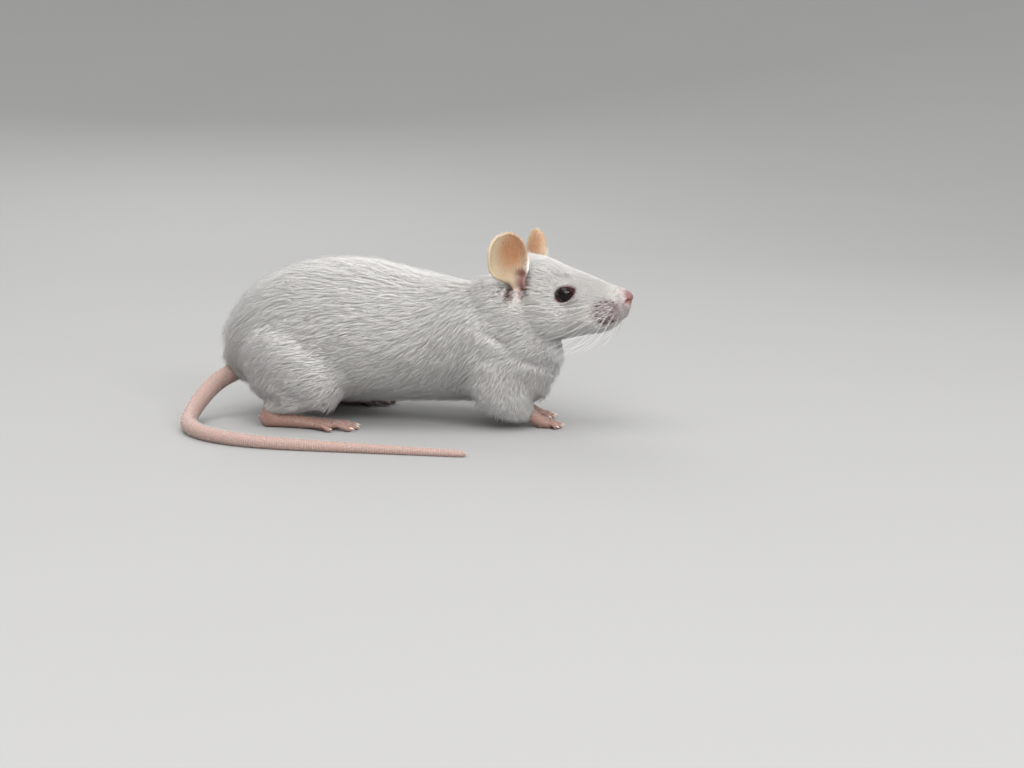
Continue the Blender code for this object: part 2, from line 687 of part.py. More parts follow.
def split_islands(item, group):
    """Return one object for each loose part of an object, and remove it."""
    whole = bmesh.new()
    whole.from_mesh(item.data)
    whole.verts.ensure_lookup_table()
    seen = set()
    islands = []
    for start in whole.verts:
        if start.index in seen:
            continue
        seen.add(start.index)
        stack, members = [start], []
        while stack:
            vertex = stack.pop()
            members.append(vertex.index)
            for edge in vertex.link_edges:
                other = edge.other_vert(vertex)
                if other.index not in seen:
                    seen.add(other.index)
                    stack.append(other)
        islands.append(set(members))
    items = []
    for members in islands:
        part = bmesh.new()
        lookup = {}
        for vertex in whole.verts:
            if vertex.index in members:
                lookup[vertex.index] = part.verts.new(vertex.co)
        for face in whole.faces:
            if face.verts[0].index in members:
                part.faces.new([lookup[vertex.index] for vertex in face.verts])
        mesh = bpy.data.meshes.new("island")
        part.to_mesh(mesh)
        part.free()
        items.append(add_mesh("island", mesh, group))
    whole.free()
    bpy.data.objects.remove(item, do_unlink=True)
    return items


def middle_of(item):
    """Return the middle of an object's box."""
    corners = [Vector(corner) for corner in item.bound_box]
    return (corners[0] + corners[6]) / 2.0


def grown_copy(item, group):
    """Return a copy of a body, larger by the gap, to cut what grows out of it."""
    copy = add_mesh("grown_" + item.name, item.data.copy(), group)
    grow = copy.modifiers.new("grow", "DISPLACE")
    grow.strength = GAP
    grow.mid_level = 0.0
    mesh = evaluated_copy(copy, copy.name)
    copy.modifiers.clear()
    copy.data = mesh
    return as_cutter(copy)


def name_islands(items):
    """Name each loose part of the flesh after the nearest of the known places."""
    left = list(items)
    for name, place in PLACES.items():
        nearest = min(left, key=lambda item: (middle_of(item) - Vector(place) * MM).length)
        nearest.name = name
        nearest.data.name = name
        left.remove(nearest)
    for sliver in left:
        bpy.data.objects.remove(sliver, do_unlink=True)


def build_flesh(model, tools):
    """Build head, neck, trunk and legs, parted by thin cuts, and return the tool grown from them."""
    body = join_meshes("flesh", body_shells(model), model)
    body = melt(body, BODY_VOXEL, FLESH_SMOOTHING, BODY_TRIANGLES)
    grown = grown_copy(body, tools)
    name_islands(split_islands(cut(body, body_cutters(tools) + leg_cutters(tools)), model))
    return grown


def build_feet(model, tools, floor):
    """Build the four feet, ended at wrist and ankle and flat below."""
    for side in (1.0, -1.0):
        wrist, ankle = foot_cutters(side, tools)
        paw = melt(forefoot(side, model), FOOT_VOXEL, FOOT_SMOOTHING, FOREFOOT_TRIANGLES)
        cut(paw, (wrist, floor))
        paw = melt(hindfoot(side, model), FOOT_VOXEL, FOOT_SMOOTHING, HINDFOOT_TRIANGLES)
        cut(paw, (ankle, floor))


def build_head_organs(model, tools, grown):
    """Build the ears and the eyes, and hollow the head for the eyes."""
    head = bpy.data.objects["head"]
    for side in (1.0, -1.0):
        cut(ear(side, model), (grown,))
        place = (0.0, side * EYE_SPACING / MM / 2.0, 0.0)
        ellipsoid("eye_" + side_name(side), place, [EYE_RADIUS / MM] * 3, model, head_matrix())
        socket = ellipsoid("socket", place, [(EYE_RADIUS + GAP) / MM] * 3, tools, head_matrix())
        cut(head, (as_cutter(socket),))


def build_tail(model, grown, floor):
    """Build the tail in its lengths, flat below where it lies on the floor."""
    pieces = tail_pieces(model)
    cut(pieces[0], (grown, floor))
    for piece in pieces[1:]:
        cut(piece, (floor,))


def dress(model):
    """Give each piece its material."""
    finishes = {name: make_material(name, colour, roughness) for name, colour, roughness in FINISHES}
    for item in model.objects:
        kind = item.name.split("_")[0]
        finish = finishes[KINDS.get(kind, "white_coat")]
        item.data.materials.clear()
        item.data.materials.append(finish)
        item.data.shade_smooth()
        item.data.set_sharp_from_angle(angle=SHARP_ANGLE)


def centre(model):
    """Move the whole model so that the middle of its box stands over the origin, on the floor."""
    corners = [Vector(corner) for item in model.objects for corner in item.bound_box]
    middle = [0.5 * (min(c[axis] for c in corners) + max(c[axis] for c in corners)) for axis in range(2)]
    for item in model.objects:
        item.data.transform(Matrix.Translation((-middle[0], -middle[1], 0.0)))


def main():
    """Build the mouse."""
    clear_scene()
    model = new_collection("white_mouse")
    tools = new_collection("cutters")
    floor = block("floor", BELOW_FLOOR, tools)
    grown = build_flesh(model, tools)
    build_feet(model, tools, floor)
    build_head_organs(model, tools, grown)
    build_tail(model, grown, floor)
    centre(model)
    dress(model)


main()
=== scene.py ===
"""White mouse, life size: one skin, its coat, eyes, claws and whiskers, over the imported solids.

The skin is grown from the solids of flesh, drawn in by the depth of the coat and joined to finer feet,
ears and tail.  The coat stands on it as thin tapering tufts that follow the lie of the hair.
Lengths are in millimetres in the tables and in metres in the meshes.
"""
import sys

import logging
import math
from collections.abc import Callable, Iterable, Iterator
from contextlib import contextmanager
from dataclasses import dataclass, field
from enum import Enum

import bmesh
import bpy
import numpy as np
from mathutils import Matrix, Vector


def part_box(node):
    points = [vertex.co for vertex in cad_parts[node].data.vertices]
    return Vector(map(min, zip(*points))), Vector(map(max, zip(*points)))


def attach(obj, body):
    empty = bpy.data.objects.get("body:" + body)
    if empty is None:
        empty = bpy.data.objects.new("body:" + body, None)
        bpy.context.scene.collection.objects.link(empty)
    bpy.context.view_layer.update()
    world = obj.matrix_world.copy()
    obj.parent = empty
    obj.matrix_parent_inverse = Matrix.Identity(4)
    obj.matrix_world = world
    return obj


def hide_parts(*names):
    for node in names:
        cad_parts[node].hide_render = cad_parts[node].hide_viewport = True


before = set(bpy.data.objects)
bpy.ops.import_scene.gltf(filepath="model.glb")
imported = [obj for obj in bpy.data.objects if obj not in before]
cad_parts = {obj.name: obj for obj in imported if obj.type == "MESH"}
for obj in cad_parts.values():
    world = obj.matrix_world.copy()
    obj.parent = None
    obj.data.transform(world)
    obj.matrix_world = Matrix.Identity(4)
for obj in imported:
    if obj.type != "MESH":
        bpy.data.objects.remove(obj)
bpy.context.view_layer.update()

MM = 0.001
LOG = logging.getLogger("mouse")
Colour = tuple[float, float, float]
Row = tuple[float, ...]
Array, Shell = np.ndarray, bmesh.types.BMesh
Item, Mesh, Material = bpy.types.Object, bpy.types.Mesh, bpy.types.Material
Tree, Node, Socket = bpy.types.NodeTree, bpy.types.Node, bpy.types.NodeSocket

HEAD_PLACE = (3.1, -1.2, 24.0)      # midway between the eyes, where the body's own measures are taken from
CORE = ("neck", "chest", "belly", "rump", "foreleg_left", "foreleg_right", "thigh_left", "thigh_right")
FLESH = ("snout", "head", *CORE, "forefoot_left", "forefoot_right", "hindfoot_left", "hindfoot_right",
         "tail_1", "tail_2", "tail_3", "tail_4", "tail_5", "ear_left", "ear_right")
CARRIED = ("ear", "paw", "tail", "along")                # what each part brings to the skin
SCULPTED = ("heart", "nose", "nostril", "pad", "lid", "mouth", "hollow", "pit_shade", "brim")


class Side(Enum):
    """A side of the animal, and the sign of Y there."""

    LEFT = 1.0
    RIGHT = -1.0

    def turn(self, places: object) -> Array:
        """Return places or directions of the left side for this side, or the other way round."""
        return np.asarray(places, float) * (1.0, self.value, 1.0)


class Zone(Enum):
    """A stretch of the coat, from the nose to the tail, each in a piece of its own."""

    FACE = "face"
    CHEEKS = "cheeks"
    CROWN = "crown"
    NECK = "neck"
    SHOULDERS = "shoulders"
    FLANKS = "flanks"
    LOINS = "loins"
    RUMP = "rump"


# ---- Node trees ----


def operator(operation: str) -> Callable[["Value", object], "Value"]:
    """Return a method that puts a value and another through one Math operation."""
    return lambda value, other: value.graph.math(operation, value, other)


@dataclass(eq=False)
class Value:
    """A number socket on which Python's operators build Math nodes."""

    graph: "Graph"
    socket: Socket

    __add__ = __radd__ = operator("ADD")
    __sub__ = operator("SUBTRACT")
    __mul__ = __rmul__ = operator("MULTIPLY")
    __truediv__ = operator("DIVIDE")
    __pow__ = operator("POWER")

    def __rsub__(self, other: object) -> "Value":
        """Return the other value less this one."""
        return self.graph.math("SUBTRACT", other, self)


@dataclass(eq=False)
class Graph:
    """A material's tree or a Geometry Nodes tree, with short ways to add and link its nodes."""

    tree: Tree

    def add(self, kind: str, settings: dict | None = None, **values: object) -> Node:
        """Add one node.

        Args:
            kind: the node's type.
            settings: the node's own settings, which are set first.
            values: what each socket holds, by its name with underscores for spaces, or in_0, in_1 by place.

        Returns:
            The new node.
        """
        node = self.tree.nodes.new(kind)
        for name, setting in (settings or {}).items():
            setattr(node, name, setting)
        for name, value in values.items():
            self.feed(self.find(node.inputs, name), value)
        return node

    def find(self, sockets: object, name: str) -> Socket:
        """Return a socket by its place or by its name."""
        if name.startswith("in_"):
            return sockets[int(name[3:])]
        wanted = name.replace("_", " ")
        named = [socket for socket in sockets if socket.name == wanted]
        return next((socket for socket in named if socket.enabled), named[0])

    def feed(self, socket: Socket, value: object) -> None:
        """Link a value to a socket, or set it there if it is a plain one."""
        if isinstance(value, Value):
            value = value.socket
        if isinstance(value, Socket):
            self.tree.links.new(value, socket)
        else:
            socket.default_value = value

    def dress(self, node: Node, values: dict[str, object]) -> None:
        """Link or set a node's own sockets by their exact names."""
        for name, value in values.items():
            self.feed(node.inputs[name], value)

    def out(self, node: Node, name: str) -> Value:
        """Return one output of a node as a value."""
        return Value(self, self.find(node.outputs, name))

    def operate(self, kind: str, operation: str, terms: tuple) -> Node:
        """Return a node of some kind that does one operation on the terms."""
        node = self.add(kind, {"operation": operation})
        for socket, term in zip(node.inputs, terms):
            self.feed(socket, term)
        return node

    def math(self, operation: str, *terms: object) -> Value:
        """Return a Math node's result on values or numbers."""
        return Value(self, self.operate("ShaderNodeMath", operation, terms).outputs[0])

    def step(self, low: float, high: float, value: Value) -> Value:
        """Return a smooth rise from 0 at low to 1 at high."""
        node = self.add("ShaderNodeMapRange", {"interpolation_type": "SMOOTHSTEP"},
                        Value=value, From_Min=low, From_Max=high)
        return self.out(node, "Result")

    def vector(self, operation: str, *terms: object) -> Node:
        """Return a Vector Math node on vectors or sockets."""
        return self.operate("ShaderNodeVectorMath", operation, terms)

    def combine(self, *parts: object) -> Socket:
        """Return a vector made of its three parts."""
        return self.add("ShaderNodeCombineXYZ", **dict(zip("XYZ", parts))).outputs[0]

    def dot(self, vector: object, axis: object) -> Value:
        """Return the share of a vector along an axis."""
        return self.out(self.vector("DOT_PRODUCT", vector, tuple(axis)), "Value")

    def mix(self, factor: object, first: object, second: object) -> Socket:
        """Return one colour mixed into another by a factor."""
        node = self.add("ShaderNodeMix", {"data_type": "RGBA"})
        for place, value in ((0, factor), (6, first), (7, second)):
            if isinstance(value, tuple):
                value = (*value, 1.0)
            self.feed(node.inputs[place], value)
        return node.outputs[2]

    def attribute(self, name: str) -> Value:
        """Return a number that a material reads from the mesh."""
        return self.out(self.add("ShaderNodeAttribute", {"attribute_name": name}), "Fac")

    def place(self) -> Socket:
        """Return the place on the object that is being coloured."""
        return self.add("ShaderNodeTexCoord").outputs["Object"]

    def noise(self, vector: object, scale: object, detail: float = 2.0, rough: float = 0.5) -> Value:
        """Return smooth noise about one half."""
        node = self.add("ShaderNodeTexNoise", Vector=vector, Scale=scale, Detail=detail, Roughness=rough)
        return Value(self, node.outputs[0])


def shader_graph(name: str) -> tuple[Material, Graph, Node]:
    """Return a new material, its graph and its Principled shader.

    Args:
        name: the material's name.
    """
    material = bpy.data.materials.new(name)
    material.use_nodes = True
    graph = Graph(material.node_tree)
    return material, graph, material.node_tree.nodes["Principled BSDF"]


# ---- Meshes ----


def smooth_step(low: float, high: float, value: Array) -> Array:
    """Return a smooth rise from 0 at low to 1 at high, for each value."""
    part = np.clip((value - low) / (high - low), 0.0, 1.0)
    return part * part * (3.0 - 2.0 * part)


def bell(distance: Array, width: float) -> Array:
    """Return a bell curve that is 1 at no distance and about a third at its width."""
    return np.exp(-(distance / width) ** 2)


def unit(vectors: Array) -> Array:
    """Return vectors drawn to a length of one."""
    return vectors / np.maximum(np.linalg.norm(vectors, axis=-1, keepdims=True), 1e-12)


def blend(first: Array, second: object, share: Array) -> Array:
    """Return values that a share of others takes over."""
    return first * (1.0 - share) + second * share


def ellipse(places: Array, centre: Row, radii: Row) -> Array:
    """Return how far each place is from a centre, as a share of the radii."""
    return np.linalg.norm((places - centre) / radii, axis=1)


def read(items: object, what: str, width: int, kind: type = np.float32) -> Array:
    """Return one property of every vertex, edge, face or attribute value of a mesh.

    Args:
        items: the mesh's own collection of them.
        what: the property's name.
        width: how many numbers each has.
        kind: what the mesh keeps the numbers as.

    Returns:
        A row for each, or a plain number for each where the width is 1.
    """
    values = np.empty(len(items) * width, kind)
    items.foreach_get(what, values)
    return values.reshape(-1, width) if width > 1 else values


def points_of(mesh: Mesh, what: str = "co") -> Array:
    """Return the places, or the normals, of a mesh's vertices as rows."""
    return read(mesh.vertices, what, 3).astype(float)


def move_points(mesh: Mesh, points: Array) -> None:
    """Put a mesh's vertices at new places."""
    mesh.vertices.foreach_set("co", points.astype(np.float32).ravel())
    mesh.update()


def store(mesh: Mesh, name: str, values: Array) -> None:
    """Keep a number or a vector for each vertex under a name."""
    kind, key = ("FLOAT", "value") if values.ndim == 1 else ("FLOAT_VECTOR", "vector")
    layer = mesh.attributes.get(name) or mesh.attributes.new(name, kind, "POINT")
    layer.data.foreach_set(key, values.astype(np.float32).ravel())


def fetch(mesh: Mesh, name: str) -> Array:
    """Return the numbers or vectors that a mesh keeps under a name."""
    layer = mesh.attributes[name]
    key, width = ("value", 1) if layer.data_type == "FLOAT" else ("vector", 3)
    return read(layer.data, key, width).astype(float)


def spread(mesh: Mesh, values: Array, rounds: int) -> Array:
    """Return values evened out between neighbouring vertices.

    Args:
        mesh: the mesh whose edges join the neighbours.
        values: one number or row for each vertex.
        rounds: how many times to average.
    """
    first, second = read(mesh.edges, "vertices", 2, np.int32).T
    count = len(mesh.vertices)
    shares = np.bincount(first, minlength=count) + np.bincount(second, minlength=count) + 1.0
    table = values.reshape(count, -1).astype(float)
    for _ in range(rounds):
        columns = []
        for column in table.T:
            total = column + np.bincount(first, column[second], count)
            columns.append((total + np.bincount(second, column[first], count)) / shares)
        table = np.stack(columns, axis=1)
    return table.reshape(values.shape)


def new_mesh(name: str, points: object, faces: object = ()) -> Mesh:
    """Return a new mesh of points and the faces between them."""
    mesh = bpy.data.meshes.new(name)
    mesh.from_pydata(points, [], faces)
    return mesh


def add_object(name: str, data: bpy.types.ID) -> Item:
    """Return a new object in the scene for a mesh, a lamp or a camera."""
    item = bpy.data.objects.new(name, data)
    bpy.context.scene.collection.objects.link(item)
    return item


@contextmanager
def opened(mesh: Mesh) -> Iterator[Shell]:
    """Open a mesh for work on its faces, and write it back at the end."""
    shell = bmesh.new()
    shell.from_mesh(mesh)
    yield shell
    shell.to_mesh(mesh)
    shell.free()


def evaluated_mesh(item: Item, name: str) -> Mesh:
    """Return a plain mesh of an object with its modifiers done, and take the modifiers off."""
    graph = bpy.context.evaluated_depsgraph_get()
    mesh = bpy.data.meshes.new_from_object(item.evaluated_get(graph))
    mesh.name = name
    item.modifiers.clear()
    return mesh


def join_objects(name: str, items: list[Item]) -> Item:
    """Return one object made of several, and remove those.

    Args:
        name: the new object's name.
        items: the objects, whose vertex attributes are kept.
    """
    with bpy.context.temp_override(active_object=items[0], object=items[0], selected_objects=items,
                                   selected_editable_objects=items):
        bpy.ops.object.join()
    items[0].name = name
    return items[0]


def voxel_remesh(item: Item, voxel: float) -> None:
    """Turn the overlapping shells of an object into one skin, and keep its vertex attributes."""
    mesh = item.data
    mesh.remesh_voxel_size = voxel
    mesh.use_remesh_preserve_attributes = True
    mesh.use_remesh_fix_poles = False
    with bpy.context.temp_override(active_object=item, object=item, selected_objects=[item]):
        bpy.ops.object.voxel_remesh()


def keep_largest(item: Item) -> None:
    """Remove every loose part of a mesh but the one with the most vertices."""
    mesh = item.data
    first, second = read(mesh.edges, "vertices", 2, np.int32).T
    label = np.arange(len(mesh.vertices))
    while True:
        low = np.minimum(label[first], label[second])
        fresh = label.copy()
        np.minimum.at(fresh, first, low)
        np.minimum.at(fresh, second, low)
        fresh = fresh[fresh]
        if np.array_equal(fresh, label):
            break
        label = fresh
    names, counts = np.unique(label, return_counts=True)
    if len(names) == 1:
        return
    stray = np.flatnonzero(label != names[counts.argmax()])
    with opened(mesh) as shell:
        shell.verts.ensure_lookup_table()
        bmesh.ops.delete(shell, geom=[shell.verts[index] for index in stray], context="VERTS")


def spline_rows(stations: tuple[Row, ...], steps: int) -> Array:
    """Return the stations with smooth cubic steps between them.

    Args:
        stations: the rows to pass through.
        steps: how many rows to make from each station to the next.
    """
    rows = np.array(stations, dtype=float)
    slopes = np.gradient(rows, axis=0)
    fine = []
    for a, b, from_a, to_b in zip(rows[:-1], rows[1:], slopes[:-1], slopes[1:]):
        for t in np.arange(steps) / steps:
            fine.append((2 * t**3 - 3 * t**2 + 1) * a + (t**3 - 2 * t**2 + t) * from_a
                        + (3 * t**2 - 2 * t**3) * b + (t**3 - t**2) * to_b)
    fine.append(rows[-1])
    return np.array(fine)


def ring(centre: Array, across: Array, upward: Array, size: Row, sides: int) -> Array:
    """Return one egg-shaped ring of points.

    Args:
        centre: its middle.
        across: the direction of its half width.
        upward: the direction of its reach above.
        size: half width, reach above and reach below.
        sides: how many points it has.
    """
    turn = np.linspace(0.0, 2.0 * math.pi, sides, endpoint=False)
    rise = np.where(np.sin(turn) > 0.0, size[1], size[2]) * np.sin(turn)
    return centre + np.outer(np.cos(turn) * size[0], across) + np.outer(rise, upward)


def loft(name: str, rings: list[Array]) -> Item:
    """Return a closed object that runs through rings of points and has a cap at both ends."""
    count = len(rings[0])
    faces = []
    for start in range(0, (len(rings) - 1) * count, count):
        for here in range(count):
            beside = (here + 1) % count
            faces.append((start + here, start + beside, start + beside + count, start + here + count))
    last = (len(rings) - 1) * count
    faces.append(tuple(reversed(range(count))))
    faces.append(tuple(range(last, last + count)))
    mesh = new_mesh(name, np.concatenate(rings).tolist(), faces)
    turn_outward(mesh)
    return add_object(name, mesh)


def turn_outward(mesh: Mesh) -> None:
    """Turn the faces of a closed mesh outward."""
    with opened(mesh) as shell:
        bmesh.ops.recalc_face_normals(shell, faces=shell.faces)


def tube(name: str, stations: tuple[Row, ...], steps: int, sides: int) -> Item:
    """Return a loft along a bent line, its rings square to the line.

    Args:
        name: the object's name.
        stations: x, y, z of the centre, half width, reach above and reach below.
        steps: how many rings to make from each station to the next.
        sides: how many points each ring has.
    """
    rows = spline_rows(stations, steps)
    along = unit(np.gradient(rows[:, :3], axis=0))
    rings = []
    for row, tangent in zip(rows, along):
        upward = unit(np.cross(tangent, (0.0, 1.0, 0.0)))
        rings.append(ring(row[:3], np.cross(upward, tangent), upward, row[3:6], sides))
    return loft(name, rings)


def ellipsoid(name: str, centre: Row, radii: Row) -> Item:
    """Return an ellipsoid object."""
    mesh = bpy.data.meshes.new(name)
    with opened(mesh) as shell:
        bmesh.ops.create_icosphere(shell, subdivisions=4, radius=1.0)
        shell.transform(Matrix.Translation(centre) @ Matrix.Diagonal((*radii, 1.0)))
    return add_object(name, mesh)


def mark(item: Item, **values: object) -> Item:
    """Give every vertex of an object the attributes of its part, and return it.

    Args:
        item: the object.
        values: "lie", the direction of the hair, and the share of ear, paw or tail there.
    """
    count = len(item.data.vertices)
    for name in CARRIED:
        store(item.data, name, np.zeros(count) + values.get(name, 0.0))
    store(item.data, "lie", np.zeros((count, 3)) + values.get("lie", (-1.0, 0.0, 0.0)))
    return item


# ---- The body's measures ----


@dataclass
class Anatomy:
    """Places on the animal, worked out from where the solids of its eyes are."""

    eye_radius: float = 1.7
    stride: float = 2.5                 # the left forefoot stands this far behind the right one
    coat_depths: tuple[Row, Row] = (    # at these places ahead of the eyes the coat is this deep
        (-18.0, -10.0, -4.0, 0.0, 4.0, 8.0, 9.4), (2.1, 1.6, 1.1, 0.8, 0.5, 0.18, 0.0))
    belly_coat: float = 1.9
    tail_root: Row = (-60.5, -1.0, 8.8)
    eyes: dict[Side, Array] = field(init=False)

    def __post_init__(self) -> None:
        """Find the eyes and the head's own axes."""
        self.eyes = {}
        for side in Side:
            low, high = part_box("eye_" + side.name.lower())
            self.eyes[side] = np.array((low + high) / 2.0)
        self.centre = (self.eyes[Side.LEFT] + self.eyes[Side.RIGHT]) / 2.0
        self.sideways = unit(self.eyes[Side.LEFT] - self.eyes[Side.RIGHT])
        self.upward = np.array((0.0, 0.0, 1.0))
        self.forward = np.cross(self.sideways, self.upward)
        self.axes = np.stack((self.forward, self.sideways, self.upward))
        self.origin = self.centre - np.array(HEAD_PLACE) * MM

    def from_head(self, places: Array) -> Array:
        """Return world places for places in the head's own frame, in millimetres."""
        return self.centre + np.asarray(places) * MM @ self.axes

    def to_head(self, points: Array) -> Array:
        """Return places in the head's own frame, in millimetres: ahead, to the left and up."""
        return (points - self.centre) @ self.axes.T / MM

    def from_body(self, places: Array) -> Array:
        """Return world places for places in the body's measures, in millimetres."""
        return self.origin + np.asarray(places) * MM

    def to_body(self, points: Array) -> Array:
        """Return places in the body's measures, in millimetres."""
        return (points - self.origin) / MM

    def step_back(self, side: Side) -> float:
        """Return how far a forefoot stands behind the right one."""
        return self.stride if side is Side.LEFT else 0.0

    def wrist(self, side: Side) -> Array:
        """Return the place of a wrist in the body's measures."""
        return np.array((-3.7 - self.step_back(side), side.value * 4.7, 2.3))

    def ankle(self, side: Side) -> Array:
        """Return the place of an ankle in the body's measures."""
        return np.array((-49.5, side.value * 11.8, 3.0))

    def underside(self, ahead: Array, up: Array) -> Array:
        """Return how far each place in the head's frame counts as throat, chest or belly, from 0 to 1."""
        return smooth_step(-8.0, -12.0, up) * (ahead < 2.0)

    def coat_depth(self, points: Array) -> Array:
        """Return how deep the coat is over each point, in millimetres."""
        ahead, _, up = self.to_head(points).T
        depth = np.interp(ahead, *self.coat_depths)
        depth = depth + (self.belly_coat - depth) * self.underside(ahead, up)
        thin = [(self.wrist(side), 0.15, 1.7, 1.0, 8.0) for side in Side]
        thin += [(self.ankle(side), 0.2, 1.8, 1.5, 9.0) for side in Side]
        thin.append((self.tail_root, 0.15, 1.9, 1.5, 7.0))
        for place, least, more, near, far in thin:
            gap = np.linalg.norm(self.to_body(points) - place, axis=1)
            depth = np.minimum(depth, least + more * smooth_step(near, far, gap))
        return depth


# ---- Finishes ----


@dataclass(frozen=True)
class CoatFinish:
    """White hair, painted darker at its root as the shade deep in the coat, each tuft a little unlike the
    next.
    """

    # The root colour is painted shade of the coat's depth; the tip is the hair's own white.
    root: Colour = (0.90, 0.86, 0.82)
    tip: Colour = (0.97, 0.955, 0.925)
    shade: Colour = (0.88, 0.855, 0.81)
    roughness: float = 0.55

    def material(self) -> Material:
        """Return the material of the coat."""
        material, graph, shader = shader_graph("white_coat")
        along = graph.attribute("along")
        tint = graph.attribute("tint")
        # Painted shade: darker from the tip down to the root, where the tufts shade each other.
        colour = graph.mix(graph.step(0.0, 0.55, along), self.root, self.tip)
        colour = graph.mix(tint * 0.55, colour, self.shade)
        graph.dress(shader, {"Base Color": colour, "Roughness": tint * 0.15 + self.roughness,
                             "Specular IOR Level": 0.25, "Subsurface Weight": 0.7,
                             "Subsurface Scale": 0.7 * MM, "Subsurface Radius": (1.0, 0.9, 0.8)})
        return material


@dataclass(frozen=True)
class SkinFinish:
    """Pink skin that shows on the nose, ears, feet and tail, and fades to the coat's white under it."""

    fur: Colour = (0.88, 0.84, 0.81)
    nose: Colour = (0.205, 0.112, 0.11)
    nostril: Colour = (0.20, 0.03, 0.03)
    pad: Colour = (0.09, 0.055, 0.062)
    follicle: Colour = (0.035, 0.012, 0.018)
    lid: Colour = (0.12, 0.055, 0.055)
    mouth: Colour = (0.40, 0.19, 0.19)
    # The ear's rim is its own tan, painted paler for light that shines through the thin lobe; the heart is
    # its own deeper blush.
    ear_rim: Colour = (0.45, 0.365, 0.25)
    ear_heart: Colour = (0.34, 0.16, 0.075)
    # Painted shade in the ear's opening and in the fold behind its foot.
    pit_shade: Colour = (0.10, 0.035, 0.028)
    hollow: Colour = (0.28, 0.15, 0.14)
    paw: Colour = (0.28, 0.175, 0.145)
    knuckle: Colour = (0.26, 0.145, 0.12)
    tail: Colour = (0.37, 0.255, 0.225)
    tail_ring: float = 0.42             # from one ring of the tail to the next
    grain: float = 2600.0               # cells of the fine grain, and of the mottling, in a metre
    blotches: float = 620.0

    def material(self, body: Anatomy, rows: "WhiskerRows") -> Material:
        """Return the material of the skin.

        Args:
            body: the head's frame, in which the whisker roots lie.
            rows: the grid of the whisker roots.
        """
        material, graph, shader = shader_graph("skin")
        place = graph.place()
        masks = {name: graph.attribute(name) for name in CARRIED + SCULPTED}
        fine = graph.noise(place, self.grain, 3.0)
        mottle = graph.noise(place, self.blotches, 3.0, 0.6)
        dots = self.follicles(graph, place, body, rows) * masks["pad"]
        colour = graph.mix(masks["pad"] * (0.62 + mottle * 0.5), self.fur, self.pad)
        colour = graph.mix(dots, colour, self.follicle)
        # The ear: a paler rim that is partly painted light shining through, deepening to the heart's own
        # blush.
        ear = graph.mix(masks["heart"] * (0.75 + mottle * 0.4), self.ear_rim, self.ear_heart)
        colour = graph.mix(masks["ear"], colour, ear)
        paw = graph.mix(mottle * 0.9, self.paw, self.knuckle)
        colour = graph.mix(masks["paw"], colour, paw)
        colour = graph.mix(masks["tail"], colour, self.tail)
        # Of these, the pit shade is painted shade in the ear's opening and in the fold behind it.
        for name, shade in (("nose", self.nose), ("mouth", self.mouth), ("hollow", self.hollow),
                            ("pit_shade", self.pit_shade), ("lid", self.lid), ("nostril", self.nostril)):
            colour = graph.mix(masks[name], colour, shade)
        rings = graph.math("SINE", masks["along"] * (2.0 * math.pi / self.tail_ring)) * masks["tail"]
        height = fine * 0.035 + mottle * 0.05 + dots * -0.05 + rings * 0.035
        bump = graph.add("ShaderNodeBump", Height=height, Distance=MM, Strength=0.8)
        graph.dress(shader, {"Base Color": colour, "Normal": bump.outputs["Normal"],
                             "Roughness": 0.62 - masks["nose"] * 0.22 - masks["lid"] * 0.25,
                             "Subsurface Weight": 0.25, "Subsurface Radius": (1.0, 0.35, 0.2),
                             "Subsurface Scale": 0.9 * MM, "Specular IOR Level": 0.4})
        return material

    def follicles(self, graph: Graph, place: object, body: Anatomy, rows: "WhiskerRows") -> Value:
        """Return a mask of small dots where the whiskers come out of the muzzle."""
        inward = graph.vector("SUBTRACT", place, tuple(body.centre)).outputs[0]
        ahead = graph.dot(inward, body.forward) / MM
        height = graph.dot(inward, body.upward) / MM
        level = (rows.top - height) / rows.drop
        number = graph.math("ROUND", level)
        lane = (rows.front - ahead) / rows.spacing + graph.math("MODULO", number, 2.0) * 0.5
        off_level = (level - number) * rows.drop
        off_lane = (lane - graph.math("ROUND", lane)) * rows.spacing
        distance = graph.math("SQRT", off_level * off_level + off_lane * off_lane)
        return (1.0 - graph.step(0.08, 0.27, distance)) * (1.0 - graph.step(7.9, 8.7, ahead))


@dataclass(frozen=True)
class EyeFinish:
    """A glossy eye, black at its pupil and dark ruby round it."""

    pupil: Colour = (0.003, 0.001, 0.002)
    iris: Colour = (0.024, 0.003, 0.005)
    streaks: float = 3000.0             # cells of the iris's streaks in a metre

    def material(self, name: str, centre: Array, outward: Array, radius: float) -> Material:
        """Return the material of one eye.

        Args:
            name: the material's name.
            centre: the middle of the eye.
            outward: the direction in which it looks.
            radius: its radius in metres.
        """
        material, graph, shader = shader_graph(name)
        place = graph.place()
        inward = graph.vector("SUBTRACT", place, tuple(centre)).outputs[0]
        facing = graph.dot(inward, outward) / radius
        streaks = graph.noise(place, self.streaks, 2.0)
        rim = 1.0 - graph.step(0.45, 0.93, facing + streaks * 0.06)
        graph.dress(shader, {"Base Color": graph.mix(rim, self.pupil, self.iris), "Roughness": 0.05,
                             "Specular IOR Level": 0.26})
        return material


@dataclass(frozen=True)
class HornFinish:
    """Pale horn, clearer towards its tip, for claws and whiskers."""

    name: str
    root: Colour
    tip: Colour
    roughness: float

    def material(self) -> Material:
        """Return the material of claws or whiskers."""
        material, graph, shader = shader_graph(self.name)
        along = graph.attribute("along")
        tint = graph.attribute("tint")
        colour = graph.mix(graph.step(0.0, 0.9, along + tint * 0.1), self.root, self.tip)
        graph.dress(shader, {"Base Color": colour, "Roughness": self.roughness, "Specular IOR Level": 0.5})
        return material


